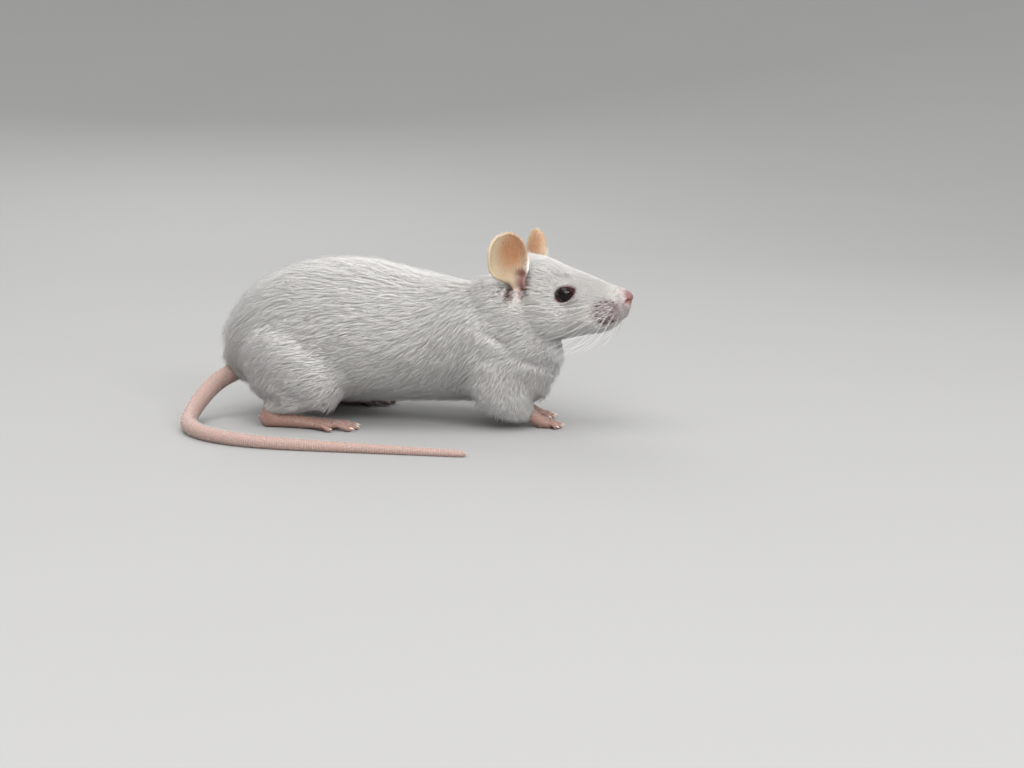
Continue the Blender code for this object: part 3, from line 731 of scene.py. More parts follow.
@dataclass(frozen=True)
class FloorFinish:
    """A plain pale floor."""

    colour: Colour = (0.33, 0.33, 0.326)

    def material(self) -> Material:
        """Return the material of the floor."""
        material, graph, shader = shader_graph("pale_floor")
        place = graph.place()
        soft = graph.noise(place, 9.0, 2.0)
        darker = tuple(0.96 * share for share in self.colour)
        graph.dress(shader, {"Base Color": graph.mix(soft, self.colour, darker), "Roughness": 0.9,
                             "Specular IOR Level": 0.2})
        return material


# ---- Feet, ears and tail ----


@dataclass
class Paw:
    """One foot: its palm or sole, its pads and its toes."""

    body: Anatomy
    side: Side
    sole: tuple[Row, ...]
    toes: tuple[Row, ...]               # x and y of the root, angle outward, length
    girth: float
    toe_level: float
    pads: tuple[Row, ...]
    toe_shape: tuple[Row, ...] = (      # reach, height and girth, each as a share of the toe's own
        (0.0, 0.80, 1.0), (0.25, 0.95, 1.0), (0.42, 1.0, 0.86), (0.6, 0.86, 0.98),
        (0.74, 0.66, 0.84), (0.9, 0.52, 0.96), (1.04, 0.42, 0.72), (1.1, 0.38, 0.3))

    def place_rows(self, rows: Iterable[Row]) -> tuple[Row, ...]:
        """Return stations turned to this side and to world places."""
        return tuple((*self.body.from_body(self.side.turn(row[:3])), *(size * MM for size in row[3:]))
                     for row in rows)

    def toe_line(self, toe: Row, reach: float, height: float) -> Row:
        """Return a place along a toe, before it is turned to its side."""
        angle = math.radians(toe[2])
        return (toe[0] + reach * toe[3] * math.cos(angle), toe[1] + reach * toe[3] * math.sin(angle),
                self.toe_level * height)

    def digit(self, toe: Row) -> Item:
        """Return one toe with its knuckles and the pad under its end."""
        rows = [(*self.toe_line(toe, reach, height), *[self.girth * size] * 3)
                for reach, height, size in self.toe_shape]
        return tube("toe", self.place_rows(rows), 3, 14)

    def build(self) -> Item:
        """Return the foot as overlapping shells with its attributes."""
        items = [tube("sole", self.place_rows(self.sole), 4, 20)]
        items.extend(self.digit(toe) for toe in self.toes)
        items.extend(ellipsoid("pad", row[:3], row[3:]) for row in self.place_rows(self.pads))
        return mark(join_objects("paw", items), paw=1.0, lie=(1.0, 0.0, -0.1))

    def claw_roots(self) -> list[tuple[Array, Array]]:
        """Return the place and the direction of each claw."""
        roots = []
        for toe in self.toes:
            rows = [self.toe_line(toe, reach, height) for reach, height in ((0.8, 0.66), (1.0, 0.62))]
            before, end = np.array(self.place_rows(rows))
            roots.append((end, unit(end - before)))
        return roots


def forepaw(body: Anatomy, side: Side) -> Paw:
    """Return a forefoot with four toes."""
    back = body.step_back(side)
    rows = ((-6.2, 5.9, 3.9, 1.5, 1.5, 1.5), (-4.8, 5.1, 2.75, 1.3, 1.3, 1.3),
            (-3.7, 4.7, 2.3, 1.15, 1.15, 1.2), (-2.6, 4.35, 1.6, 1.15, 1.0, 1.25),
            (-1.4, 4.2, 1.05, 1.4, 0.92, 1.1), (-0.3, 4.1, 0.85, 1.25, 0.66, 0.9))
    sole = tuple((row[0] - back, *row[1:]) for row in rows)
    toes = tuple((-0.6 - back, 4.1 + offset, angle, length) for offset, angle, length in
                 ((-0.95, -24.0, 1.8), (-0.33, -7.0, 2.3), (0.33, 8.0, 2.3), (0.95, 25.0, 1.8)))
    pads = tuple((x - back, 4.15 + y, 0.42, 0.5, 0.5, 0.42) for x, y in
                 ((-0.5, -0.75), (-0.2, 0.0), (-0.5, 0.75), (-2.0, -0.6), (-2.0, 0.6)))
    return Paw(body, side, sole, toes, 0.43, 0.95, pads)


def hindpaw(body: Anatomy, side: Side) -> Paw:
    """Return a long hind foot with five toes."""
    sole = ((-51.3, 11.8, 1.2, 0.8, 0.9, 1.15), (-50.2, 11.8, 1.5, 1.3, 1.7, 1.5),
            (-47.5, 11.8, 1.4, 1.35, 1.4, 1.35), (-44.0, 11.9, 1.15, 1.45, 1.1, 1.1),
            (-40.5, 12.0, 0.95, 1.9, 0.92, 0.95), (-38.4, 12.1, 0.85, 2.0, 0.78, 0.85),
            (-37.5, 12.1, 0.75, 1.5, 0.55, 0.7))
    toes = ((-40.4, 10.35, -20.0, 3.1), (-38.2, 10.95, -8.0, 4.0), (-38.0, 12.1, 1.0, 4.4),
            (-38.2, 13.25, 9.0, 4.0), (-40.4, 13.85, 22.0, 3.1))
    toe_pads = ((-39.6, 10.6), (-38.0, 11.5), (-38.0, 12.7), (-39.6, 13.6))
    pads = ((-49.3, 11.8, 2.4, 1.7, 1.5, 2.4), *((x, y, 0.5, 0.6, 0.6, 0.5) for x, y in toe_pads),
            (-43.5, 12.4, 0.55, 0.9, 0.7, 0.55))
    return Paw(body, side, sole, toes, 0.50, 1.05, pads)


@dataclass
class Ear:
    """One ear: a round lobe that narrows to a rolled stalk at its root."""

    body: Anatomy
    side: Side
    root: Row = (-8.2, 5.9, -1.6)
    height: float = 12.5
    lobe: float = 4.45
    throat: float = 2.9
    turned_out: float = 43.0
    wall: float = 0.52
    span: Row = (-0.14, 0.993)          # from its foot under the skin to its tip, as shares of the height
    rows: int = 60
    columns: int = 48

    def axes(self) -> tuple[Array, Array, Array]:
        """Return the ear's directions for the left side: up its length, across it and out of its hollow."""
        upward = unit(np.array((-1.8, 3.2, 12.0)))
        turn = math.radians(self.turned_out)
        facing = np.array((math.cos(turn), math.sin(turn), 0.0))
        facing = unit(facing - upward * facing.dot(upward))
        return upward, np.cross(upward, facing), facing

    def point(self, v: float, share: float) -> Array:
        """Return a place on the ear in the head's frame.

        Args:
            v: how far up the ear, from 0 to 1.
            share: how far across it, from -1 at the front edge to 1 at the back edge.
        """
        upward, across, facing = self.axes()
        crown = 1.0 - self.lobe / self.height
        if v > crown:
            reach = 1.06 * self.lobe * math.sqrt(max(1.0 - ((v - crown) / (1.0 - crown)) ** 2, 0.0))
            bend = math.radians(40.0) * reach / self.lobe
        else:
            round_part = 1.06 * self.lobe * math.sqrt(max(1.0 - ((crown - v) / 0.38) ** 2, 0.0))
            reach = (round_part ** 4 + self.throat ** 4) ** 0.25
            blend = float(smooth_step(0.15, crown, np.array(v)))
            bend = math.radians(112.0 + (42.4 - 112.0) * blend)
        bend = max(bend, 0.01)
        backward = 0.12 + 0.88 * float(smooth_step(0.20, 0.50, np.array(v)))
        turn = bend * (-1.0 + 0.5 * (share + 1.0) * (1.0 + backward))
        radius = max(reach, 0.05) / bend
        if turn < 0.0:
            radius *= 1.0 - 0.18 * min(max(v, 0.0) / crown, 1.0)
        middle = np.array(self.root) + upward * (self.height * v)
        middle = middle + facing * (1.1 * (2.0 * v - 1.0) ** 2 - 1.1)
        middle[1] -= 1.3 * float(smooth_step(0.32, -0.05, np.array(v)))
        rim = 0.28 * smooth_step(0.80, 1.0, np.array(abs(share))) * smooth_step(0.25, 0.5, np.array(v))
        return middle + across * (radius * math.sin(turn)) + facing * (radius * (1.0 - math.cos(turn)) + rim)

    def build(self) -> Item:
        """Return the ear as a closed shell with its attributes."""
        places = [self.side.turn(self.point(v, share)) for v in np.linspace(*self.span, self.rows)
                  for share in np.linspace(-1.0, 1.0, self.columns)]
        faces = [(here, here + 1, here + self.columns + 1, here + self.columns)
                 for start in range(0, (self.rows - 1) * self.columns, self.columns)
                 for here in range(start, start + self.columns - 1)]
        item = add_object("ear", new_mesh("ear", self.body.from_head(np.array(places)).tolist(), faces))
        wall = item.modifiers.new("wall", "SOLIDIFY")
        wall.thickness = self.wall * MM
        wall.offset = 0.0
        item.data = evaluated_mesh(item, "ear")
        turn_outward(item.data)
        points = points_of(item.data)
        root = self.body.from_head(self.side.turn(self.root))
        return mark(item, ear=1.0, along=np.linalg.norm(points - root, axis=1) / MM, lie=unit(points - root))


@dataclass
class Tail:
    """The tail: down from the rump, then in a curve on the floor."""

    body: Anatomy
    length: float = 80.0
    base: float = 1.9
    tip: float = 0.6
    root: Row = (-55.5, 0.0, 9.0)
    fall: float = 0.30                  # share of the length in which it comes down
    bend: float = 0.70                  # share of the length that bends
    start_turn: float = math.radians(15.0)
    turn: float = math.radians(165.0)
    flat: float = 0.12
    rings: int = 321

    def build(self) -> Item:
        """Return the tail as a closed tube with its attributes."""
        place = np.array(self.root[:2])
        step = self.length / (self.rings - 1)
        centres, radii = [], []
        for part in np.linspace(0.0, 1.0, self.rings):
            radius = self.base + (self.tip - self.base) * part ** 0.8
            fall = math.pi * min(part / self.fall, 1.0)
            lowered = 0.5 - 0.5 * math.cos(fall)
            heading = math.pi + self.start_turn
            heading += self.turn * math.sin(0.5 * math.pi * min(part / self.bend, 1.0))
            centres.append((*place, self.root[2] * (1.0 - lowered) + (radius - self.flat) * lowered))
            radii.append(radius)
            slope = 0.5 * math.pi / self.fall * self.root[2] / self.length * math.sin(fall)
            level = math.sqrt(1.0 - min(slope, 0.9) ** 2)
            place = place + step * level * np.array((math.cos(heading), math.sin(heading)))
        centres = np.array(centres)
        along = unit(np.gradient(centres, axis=0))
        ends = 1.0 - 0.75 * np.clip((np.arange(self.rings) - self.rings + 5) / 4.0, 0.0, 1.0) ** 2
        hoops = []
        for centre, tangent, radius in zip(centres, along, np.array(radii) * ends):
            across = unit(np.cross((0.0, 0.0, 1.0), tangent))
            upward = np.cross(tangent, across)
            hoops.append(self.body.from_body(ring(centre, across, upward, (radius,) * 3, 22)))
        item = loft("tail", hoops)
        distances = np.repeat(np.arange(self.rings) * step, 22)
        return mark(item, tail=1.0, along=distances, lie=np.repeat(along, 22, axis=0))


# ---- Skin ----


@dataclass
class WhiskerRows:
    """The rows of whisker roots on each side of the muzzle, in the head's frame."""

    top: float = -1.35
    drop: float = 0.82
    front: float = 9.0
    spacing: float = 1.05
    count: int = 5
    lanes: int = 5

    def roots(self) -> list[tuple[float, float, int, int]]:
        """Return how far ahead and how high each root is, with its row and its lane."""
        places = []
        for number in range(self.count):
            for lane in range(self.lanes):
                ahead = self.front - (lane - 0.5 * (number % 2) + 0.5) * self.spacing
                places.append((ahead, self.top - number * self.drop, number, lane))
        return places


@dataclass(frozen=True)
class Lids:
    """The rim of skin round an eye, seen from its side, in millimetres and radians."""

    tilt: float = 0.42                  # the rise of the opening's long axis towards the front
    long: float = 1.66                  # half the opening along that axis
    short: float = 1.20                 # half the opening across it
    corner: float = 0.36                # the direction of the front corner
    corner_width: float = 0.28
    corner_reach: float = 0.30
    corner_depth: float = 0.25
    rim: float = 0.05                   # how far the rim stands off the ball
    ledge: float = 0.08                 # how far the lid may rise above the rim
    thickness: float = 0.13
    crest: float = 1.5                  # how far out the lid begins to fall away
    fall: float = 2.2
    behind: float = 0.45                # how deep the skin lies under the ball


@dataclass
class Skin:
    """The one skin of the animal, under its coat."""

    body: Anatomy
    paws: list[Paw]
    ears: list[Ear]
    tail: Tail
    growth: float = 0.25 * MM           # closes the gaps between the solids
    core_voxel: float = 0.42 * MM
    voxel: float = 0.20 * MM
    most_triangles: int = 186000
    lids: Lids = Lids()
    # Ahead of the eyes, widest level, half width, top line, bottom line.
    skull: tuple[Row, ...] = (
        (-13.0, 0.0, 3.0, 3.0, -3.0), (-11.5, -0.5, 6.0, 6.0, -6.5), (-8.0, -1.5, 7.5, 6.9, -9.0),
        (-4.5, -2.4, 7.7, 6.2, -9.4), (-2.0, -2.7, 7.0, 5.2, -8.9), (0.0, -2.8, 6.1, 4.3, -8.4),
        (3.0, -2.9, 4.8, 3.2, -7.6), (5.5, -3.0, 4.1, 2.1, -7.1), (7.5, -2.9, 3.6, 1.3, -6.2),
        (9.0, -2.4, 2.7, 0.9, -4.9), (10.0, -1.8, 1.7, 0.5, -3.9), (10.6, -0.8, 0.7, 0.0, -1.6))
    # The shades of the left ear, each with its centre and radii: its inner blush, its pink hollow, and the
    # painted shade in its opening and in the fold behind its foot.
    ear_shades: tuple[tuple[str, Row, Row], ...] = (
        ("heart", (-8.3, 8.2, 6.8), (2.9, 3.4, 4.4)), ("hollow", (-7.4, 7.0, 1.2), (1.7, 2.4, 3.2)),
        ("pit_shade", (-7.6, 7.4, 3.6), (1.6, 2.2, 1.0)), ("pit_shade", (-9.9, 7.0, -0.2), (1.15, 2.6, 2.5)))
    # Where hair of the cheek hides the front edge of the left ear.
    ear_front: tuple[Row, Row] = ((-5.7, 6.6, 3.4), (1.15, 2.6, 5.2))
    # How far ahead and how high the nostrils are, and the left one's own directions.
    nostril: Row = (10.2, -1.2)
    nostril_run: Row = (-0.75, 0.55, -0.25)
    nostril_rise: Row = (0.25, 0.05, 1.0)
    # The cleft under the nose, and the line of the left lip.
    cleft: tuple[Row, ...] = ((10.6, 0.0, -1.5), (10.0, 0.0, -3.0), (9.3, 0.0, -4.2))
    lips: tuple[Row, ...] = (
        (9.3, 0.0, -4.2), (8.9, 0.8, -4.8), (8.0, 1.7, -5.5), (6.8, 2.5, -6.0), (5.2, 3.1, -6.4))
    # The creases of the left side, each with how far ahead and how high it starts and ends, and its depth.
    creases: tuple[tuple[Row, Row, float], ...] = (
        ((-12.5, -6.6), (-8.2, -8.6), 0.45), ((-8.0, -10.2), (-2.4, -12.4), 0.6))
    # Centre and radii of the whisker pad's shade on the left, and of the bare skin of the nose.
    whisker_pad: tuple[Row, Row] = ((6.7, 2.6, -3.1), (3.5, 3.2, 2.75))
    bare_nose: tuple[Row, Row] = ((10.2, 0.0, -0.7), (3.1, 2.2, 1.75))
    # Centre and radii of each hollow at the foot of the left ear, and how far it is pressed in.
    ear_pits: tuple[tuple[Row, Row, Row], ...] = (
        ((-6.6, 6.4, 1.2), (1.7, 1.8, 3.4), (-0.6, -1.9, -0.2)),
        ((-9.9, 7.0, -0.2), (1.1, 2.2, 2.6), (0.2, -1.3, 0.0)))
    # Centre and radii of the nose, and of the whisker pad, cheek and brow of the left side.
    nose: Row = (10.0, 0.0, -0.75, 1.05, 1.35, 1.05)
    swellings: tuple[Row, ...] = (
        (6.9, 1.95, -3.3, 2.6, 2.0, 2.3), (-4.0, 4.4, -3.8, 5.2, 3.5, 4.6), (-0.9, 3.2, 1.0, 2.6, 2.0, 2.1))

    def grown_copy(self, name: str) -> Item:
        """Return a merged copy of a solid, grown just enough to meet its neighbours."""
        shell = bmesh.new()
        shell.from_mesh(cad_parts[name].data)
        bmesh.ops.remove_doubles(shell, verts=shell.verts, dist=0.00001)
        mesh = bpy.data.meshes.new("flesh_" + name)
        shell.to_mesh(mesh)
        shell.free()
        move_points(mesh, points_of(mesh) + points_of(mesh, "normal") * self.growth)
        return add_object("flesh_" + name, mesh)

    def head(self) -> list[Item]:
        """Return the overlapping shells of skull, nose, cheeks and brows."""
        rings = []
        across, upward = np.eye(3)[1:]
        for ahead, level, half, top, bottom in spline_rows(self.skull, 6):
            size = (half, top - level, level - bottom)
            rings.append(self.body.from_head(ring(np.array((ahead, 0.0, level)), across, upward, size, 48)))
        items = [loft("skull", rings)]
        mounds = [(Side.LEFT, self.nose), *((side, row) for row in self.swellings for side in Side)]
        for side, row in mounds:
            item = ellipsoid("mound", side.turn(row[:3]), row[3:])
            move_points(item.data, self.body.from_head(points_of(item.data)))
            items.append(item)
        return items

    def core(self) -> Item:
        """Return the smooth flesh of head, trunk and legs, drawn in by the depth of the coat."""
        core = join_objects("core", [self.grown_copy(name) for name in CORE] + self.head())
        voxel_remesh(core, self.core_voxel)
        keep_largest(core)
        mesh = core.data
        points = points_of(mesh)
        face = smooth_step(-6.0, 2.0, self.body.to_head(points)[:, 0])[:, None]
        softer = spread(mesh, points, 14)
        points = softer + (spread(mesh, points, 3) - softer) * face
        move_points(mesh, points)
        inward = spread(mesh, points_of(mesh, "normal"), 4)
        depth = spread(mesh, self.body.coat_depth(points), 4)
        move_points(mesh, points - unit(inward) * depth[:, None] * MM)
        move_points(mesh, spread(mesh, points_of(mesh), 1))
        return mark(core)

    def build(self) -> Item:
        """Return the finished skin with the attributes that the coat and the material read."""
        items = [self.core()]
        items.extend(paw.build() for paw in self.paws)
        items.extend(ear.build() for ear in self.ears)
        items.append(self.tail.build())
        skin = join_objects("skin", items)
        voxel_remesh(skin, self.voxel)
        keep_largest(skin)
        mesh = skin.data
        move_points(mesh, spread(mesh, points_of(mesh), 2))
        for name in ("ear", "paw", "tail"):
            store(mesh, name, spread(mesh, fetch(mesh, name), 5))
        self.sculpt(mesh)
        self.rest_on_floor(mesh)
        thin = skin.modifiers.new("thin", "DECIMATE")
        thin.ratio = min(1.0, self.most_triangles / (2.0 * len(mesh.polygons)))
        thin.use_collapse_triangulate = True
        skin.data = evaluated_mesh(skin, "skin")
        skin.data.shade_smooth()
        return skin

    def sculpt(self, mesh: Mesh) -> None:
        """Shape the lids, nostrils, mouth and ear openings, and keep their masks on the mesh."""
        points = points_of(mesh)
        normals = spread(mesh, points_of(mesh, "normal"), 3)
        places = self.body.to_head(points)
        moved = places.copy()
        toward = unit(normals) @ self.body.axes.T
        masks = {name: np.zeros(len(points)) for name in SCULPTED}
        ear = fetch(mesh, "ear")
        for side in Side:
            mirrored, outward = side.turn(places), side.turn(toward)
            near = (mirrored[:, 1] > 0.0)
            shift = np.zeros((len(points), 3))
            found = [("lid", self.shape_lids(mirrored, shift)),
                     ("nostril", self.shape_nostril(mirrored, outward, shift))]
            self.shape_hollow(mirrored, ear, shift)
            self.shape_creases(mirrored, shift)
            found += [(name, smooth_step(1.2, 0.5, ellipse(mirrored, centre, radii)))
                      for name, centre, radii in self.ear_shades]
            front = smooth_step(1.1, 0.6, ellipse(mirrored, *self.ear_front)) * near
            ear = ear * (1.0 - front)
            pad = smooth_step(1.15, 0.7, ellipse(mirrored, *self.whisker_pad))
            for name, shade in (*found, ("brim", front), ("pad", pad)):
                masks[name] = np.maximum(masks[name], shade * near)
            moved += side.turn(shift) * near[:, None]
        masks["mouth"] = self.shape_mouth(places, toward, moved)
        ahead = places[:, 0]
        masks["nose"] = smooth_step(1.15, 0.62, ellipse(places, *self.bare_nose))
        masks["pad"] = np.maximum(masks["pad"], smooth_step(7.0, 9.0, ahead) * 0.9) * (1.0 - masks["nose"])
        masks["ear"] = ear
        move_points(mesh, self.body.from_head(moved))
        for name, values in masks.items():
            store(mesh, name, spread(mesh, values, 1))

    def shape_lids(self, places: Array, shift: Array) -> Array:
        """Raise a rim of skin round the eye, and sink the skin behind it.

        Args:
            places: the vertices in the head's frame, turned to the left side.
            shift: how far each vertex moves, to be added to.

        Returns:
            The mask of the bare rim.
        """
        half = np.linalg.norm(self.body.eyes[Side.LEFT] - self.body.centre) / MM
        ahead, out, up = (places - (0.0, half, 0.0)).T
        lids, radius = self.lids, self.body.eye_radius
        angle, distance = np.arctan2(up, ahead), np.hypot(ahead, up)
        tilted = angle - lids.tilt
        opening = 1.0 / np.sqrt((np.cos(tilted) / lids.long) ** 2 + (np.sin(tilted) / lids.short) ** 2)
        corner = bell(angle - lids.corner, lids.corner_width)
        opening = opening + lids.corner_reach * corner
        share = distance / opening
        sunk_corner = lids.corner_depth * corner
        ball = np.sqrt(np.maximum(radius ** 2 - np.minimum(distance, lids.long) ** 2, 0.0))
        edge = np.sqrt(np.maximum(radius ** 2 - np.minimum(opening, lids.crest) ** 2, 0.0))
        rim = edge + lids.rim - sunk_corner
        lid = np.sqrt((radius + lids.thickness) ** 2 - np.minimum(distance, lids.crest) ** 2)
        lid = lid - lids.fall * np.maximum(distance - lids.crest, 0.0)
        sunk = out + np.minimum(rim - out, 0.0) * smooth_step(1.75, 1.06, share)
        outside = np.maximum(sunk, np.minimum(lid, rim + lids.ledge) - sunk_corner)
        inside = ball - lids.behind - sunk_corner
        target = blend(inside, outside, smooth_step(0.93, 1.06, share))
        near = smooth_step(-3.4, -2.2, out) * smooth_step(2.5, 1.7, distance)
        shift[:, 1] += (target - out) * near
        return smooth_step(1.50, 1.12, share) * near

    def shape_nostril(self, places: Array, outward: Array, shift: Array) -> Array:
        """Press in one comma-shaped nostril under its wing, and return its mask."""
        ahead, out, up = places.T
        front, level = self.nostril
        close = (np.abs(ahead - front) < 0.3) & (np.abs(up - level) < 0.3) & (out > 0.0)
        centre = np.array((front, np.median(out[close]), level))
        lengthwise, rising = unit(np.array(self.nostril_run)), np.array(self.nostril_rise)
        crosswise = unit(rising - lengthwise * rising.dot(lengthwise))
        offset = places - centre
        run = offset @ lengthwise
        rise = offset @ crosswise + 0.35 * run ** 2
        depth = offset @ np.cross(lengthwise, crosswise)
        hole = np.exp(-(run / 0.62) ** 2 - (rise / 0.27) ** 2 - (depth / 0.8) ** 2)
        wing = np.exp(-(run / 0.65) ** 2 - ((rise - 0.42) / 0.28) ** 2 - (depth / 0.8) ** 2)
        shift += outward * (0.20 * wing - 0.55 * hole)[:, None]
        return np.clip(hole * 1.5, 0.0, 1.0)

    def shape_hollow(self, places: Array, ear: Array, shift: Array) -> None:
        """Sink the skin in the hollow at the foot of the ear."""
        bare = 1.0 - np.clip(ear, 0.0, 1.0)
        for centre, radii, inward in self.ear_pits:
            shift += np.outer(smooth_step(1.1, 0.2, ellipse(places, centre, radii)) * bare, inward)

    def shape_creases(self, places: Array, shift: Array) -> None:
        """Press in the soft creases where the neck folds under the cheek."""
        for start, end, deep in self.creases:
            line = np.array(end) - start
            away = places[:, (0, 2)] - start
            part = np.clip(away @ line / line.dot(line), 0.0, 1.0)
            distance = np.linalg.norm(away - np.outer(part, line), axis=1)
            groove = bell(distance, 0.9) * np.sin(math.pi * np.clip(part, 0.12, 0.88)) * (places[:, 1] > 2.0)
            shift[:, 1] -= deep * groove

    def shape_mouth(self, places: Array, toward: Array, moved: Array) -> Array:
        """Press in the cleft under the nose and the line of the lips, and return their mask."""
        mask = np.zeros(len(places))
        lines = [np.array(self.cleft)]
        for side in Side:
            lines.append(side.turn(self.lips))
        for line in lines:
            distance = np.full(len(places), 9.0)
            for start, end in zip(line[:-1], line[1:]):
                part = np.clip((places - start) @ (end - start) / np.dot(end - start, end - start), 0.0, 1.0)
                nearest = start + part[:, None] * (end - start)
                distance = np.minimum(distance, np.linalg.norm(places - nearest, axis=1))
            groove = bell(distance, 0.34)
            moved -= toward * (0.38 * groove)[:, None]
            mask = np.maximum(mask, bell(distance, 0.3))
        return mask

    def rest_on_floor(self, mesh: Mesh) -> None:
        """Flatten what would go under the floor."""
        points = points_of(mesh)
        points[:, 2] = np.maximum(points[:, 2], 0.0)
        move_points(mesh, points)

    def unwrap(self, skin: Item) -> None:
        """Unwrap the skin, so that each tuft knows its root's place on it."""
        bpy.context.view_layer.objects.active = skin
        skin.select_set(True)
        with bpy.context.temp_override(active_object=skin, object=skin, selected_objects=[skin]):
            bpy.ops.object.mode_set(mode="EDIT")
            bpy.ops.mesh.select_all(action="SELECT")
            bpy.ops.uv.smart_project(angle_limit=math.radians(66.0), island_margin=0.001)
            bpy.ops.object.mode_set(mode="OBJECT")
        skin.data.uv_layers[0].name = "unwrap"
        skin.select_set(False)


# ---- What grows on the skin ----


@dataclass
class Sprouts:
    """Geometry Nodes that grow one bent, tapering spike from each of many points.

    The mesh or points carry where each spike lies and how long, wide and high it is.
    """

    name: str
    sides: int
    segments: int
    taper: float                        # below 1 the spike stays full for longer
    bow: float                          # how far its middle stands off the straight line, in thicknesses
    scattered: bool
    flat: float = 1.0                   # its thickness as a share of its width
    sway: float = 0.0                   # how far neighbours turn together, in radians
    grain: float = 300.0                # how many such turns there are in a metre
    stray: float = 0.1                  # how far each turns on its own, in radians
    graph: Graph = field(init=False)
    seed: Value = field(init=False)

    def inputs(self, tree: Tree) -> dict[str, str]:
        kinds = (("Geometry", "Geometry"), ("Zone", "Float"), ("Seed", "Int"), ("Sway", "Float"),
                 ("Grain", "Float"), ("Stray", "Float"), ("Material", "Material"))
        sockets = tree.interface
        found = {name: sockets.new_socket(name, in_out="INPUT", socket_type="NodeSocket" + kind).identifier
                 for name, kind in kinds}
        sockets.new_socket("Geometry", in_out="OUTPUT", socket_type="NodeSocketGeometry")
        return found

    def keep(self, geometry: object, name: str, value: object,
             kind: tuple[str, str] = ("FLOAT", "POINT")) -> Socket:
        """Return geometry that keeps a value under a name, as a kind of number at a kind of place."""
        node = self.graph.add("GeometryNodeStoreNamedAttribute", {"data_type": kind[0], "domain": kind[1]},
                              Geometry=geometry, Name=name, Value=value)
        return node.outputs["Geometry"]

    def spike(self) -> Value:
        """Return one spike along X that rises along Z, with its own place along it kept on it."""
        graph = self.graph
        cone = graph.add("GeometryNodeMeshCone", Vertices=self.sides, Side_Segments=self.segments,
                         Radius_Top=0.0, Radius_Bottom=0.5, Depth=1.0)
        place = graph.add("GeometryNodeInputPosition").outputs[0]
        parts = graph.add("ShaderNodeSeparateXYZ", Vector=place)
        along = graph.out(parts, "Z")
        kept = self.keep(cone.outputs["Mesh"], "along", along)
        fuller = graph.math("MAXIMUM", 1.0 - along, 0.04) ** (self.taper - 1.0)
        arch = along * (1.0 - along) * (4.0 * self.bow)
        shaped = graph.combine(along, graph.out(parts, "Y") * fuller, arch - graph.out(parts, "X") * fuller)
        return graph.out(graph.add("GeometryNodeSetPosition", Geometry=kept, Position=shaped), "Geometry")

    def random(self, low: float, high: float, draw: float) -> Value:
        """Return a random number for each point, with a seed of its own for each draw."""
        node = self.graph.add("FunctionNodeRandomValue", {"data_type": "FLOAT"})
        least, most = [socket for socket in node.inputs if socket.type == "VALUE"][:2]
        seed = self.graph.find(node.inputs, "Seed")
        for socket, value in ((least, low), (most, high), (seed, self.seed + draw)):
            self.graph.feed(socket, value)
        return Value(self.graph, next(socket for socket in node.outputs if socket.type == "VALUE"))

    def named(self, name: str, kind: str = "FLOAT") -> Value:
        """Return what the points keep under a name."""
        node = self.graph.add("GeometryNodeInputNamedAttribute", {"data_type": kind}, Name=name)
        return self.graph.out(node, "Attribute")

    def tree(self) -> tuple[Tree, dict[str, str]]:
        """Return the tree and its inputs' identifiers."""
        tree = bpy.data.node_groups.new(self.name, "GeometryNodeTree")
        identifiers = self.inputs(tree)
        graph = self.graph = Graph(tree)
        given = graph.add("NodeGroupInput")
        zone, self.seed, sway, grain, stray = (
            graph.out(given, name) for name in ("Zone", "Seed", "Sway", "Grain", "Stray"))
        ground = given.outputs["Geometry"]
        if self.scattered:
            here = graph.math("COMPARE", self.named("zone"), zone, 0.5)
            source = graph.add("GeometryNodeDistributePointsOnFaces", {"distribute_method": "RANDOM"},
                               Mesh=ground, Density=self.named("density") * here, Seed=self.seed)
        else:
            source = graph.add("GeometryNodeMeshToPoints", Mesh=ground)
        tinted = self.keep(source.outputs["Points"], "tint", self.random(0.0, 1.0, 1.0))
        wave = graph.noise(graph.add("GeometryNodeInputPosition").outputs[0], grain, 2.0)
        yaw = (wave - 0.5) * 4.0 * sway + self.random(-1.0, 1.0, 2.0) * stray
        roll = self.random(-1.0, 1.0, 3.0) * stray * 1.5
        pose = graph.add("FunctionNodeAxesToRotation", {"primary_axis": "Z", "secondary_axis": "X"},
                         in_0=self.named("out", "FLOAT_VECTOR"), in_1=self.named("lie", "FLOAT_VECTOR"))
        long, wide, high = (self.named(name) for name in ("long", "wide", "high"))
        lift = graph.math("ARCTAN2", high * self.random(0.45, 1.2, 6.0), long) * -1.0
        turn = graph.add("FunctionNodeEulerToRotation", in_0=graph.combine(roll, lift, yaw))
        posed = graph.add("FunctionNodeRotateRotation", {"rotation_space": "LOCAL"},
                          in_0=pose.outputs[0], in_1=turn.outputs[0])
        girth = wide * self.random(0.75, 1.25, 5.0)
        size = graph.combine(long * self.random(0.72, 1.15, 4.0), girth, girth * self.flat)
        grown = graph.add("GeometryNodeInstanceOnPoints", Points=tinted, Instance=self.spike(),
                          Rotation=posed.outputs[0], Scale=size)
        result = graph.add("GeometryNodeRealizeInstances", Geometry=grown.outputs[0]).outputs[0]
        if self.scattered:
            result = self.patch(result)
        dressed = graph.add("GeometryNodeSetMaterial", Geometry=result, Material=given.outputs["Material"])
        graph.feed(graph.add("NodeGroupOutput").inputs[0], dressed.outputs[0])
        return tree, identifiers

    def patch(self, geometry: object) -> Socket:
        """Give each tuft a small patch of the bake's map at its root's place on the skin's unwrap."""
        width, height = 3.0 * MM, 0.6 * MM
        along, tint = self.named("along") - 0.5, self.named("tint") - 0.5
        across = self.graph.combine(along * width, tint * height, 0.0)
        place = self.graph.vector("ADD", self.named("root", "FLOAT_VECTOR"), across).outputs[0]
        return self.keep(geometry, "OFBake", place, ("FLOAT2", "CORNER"))

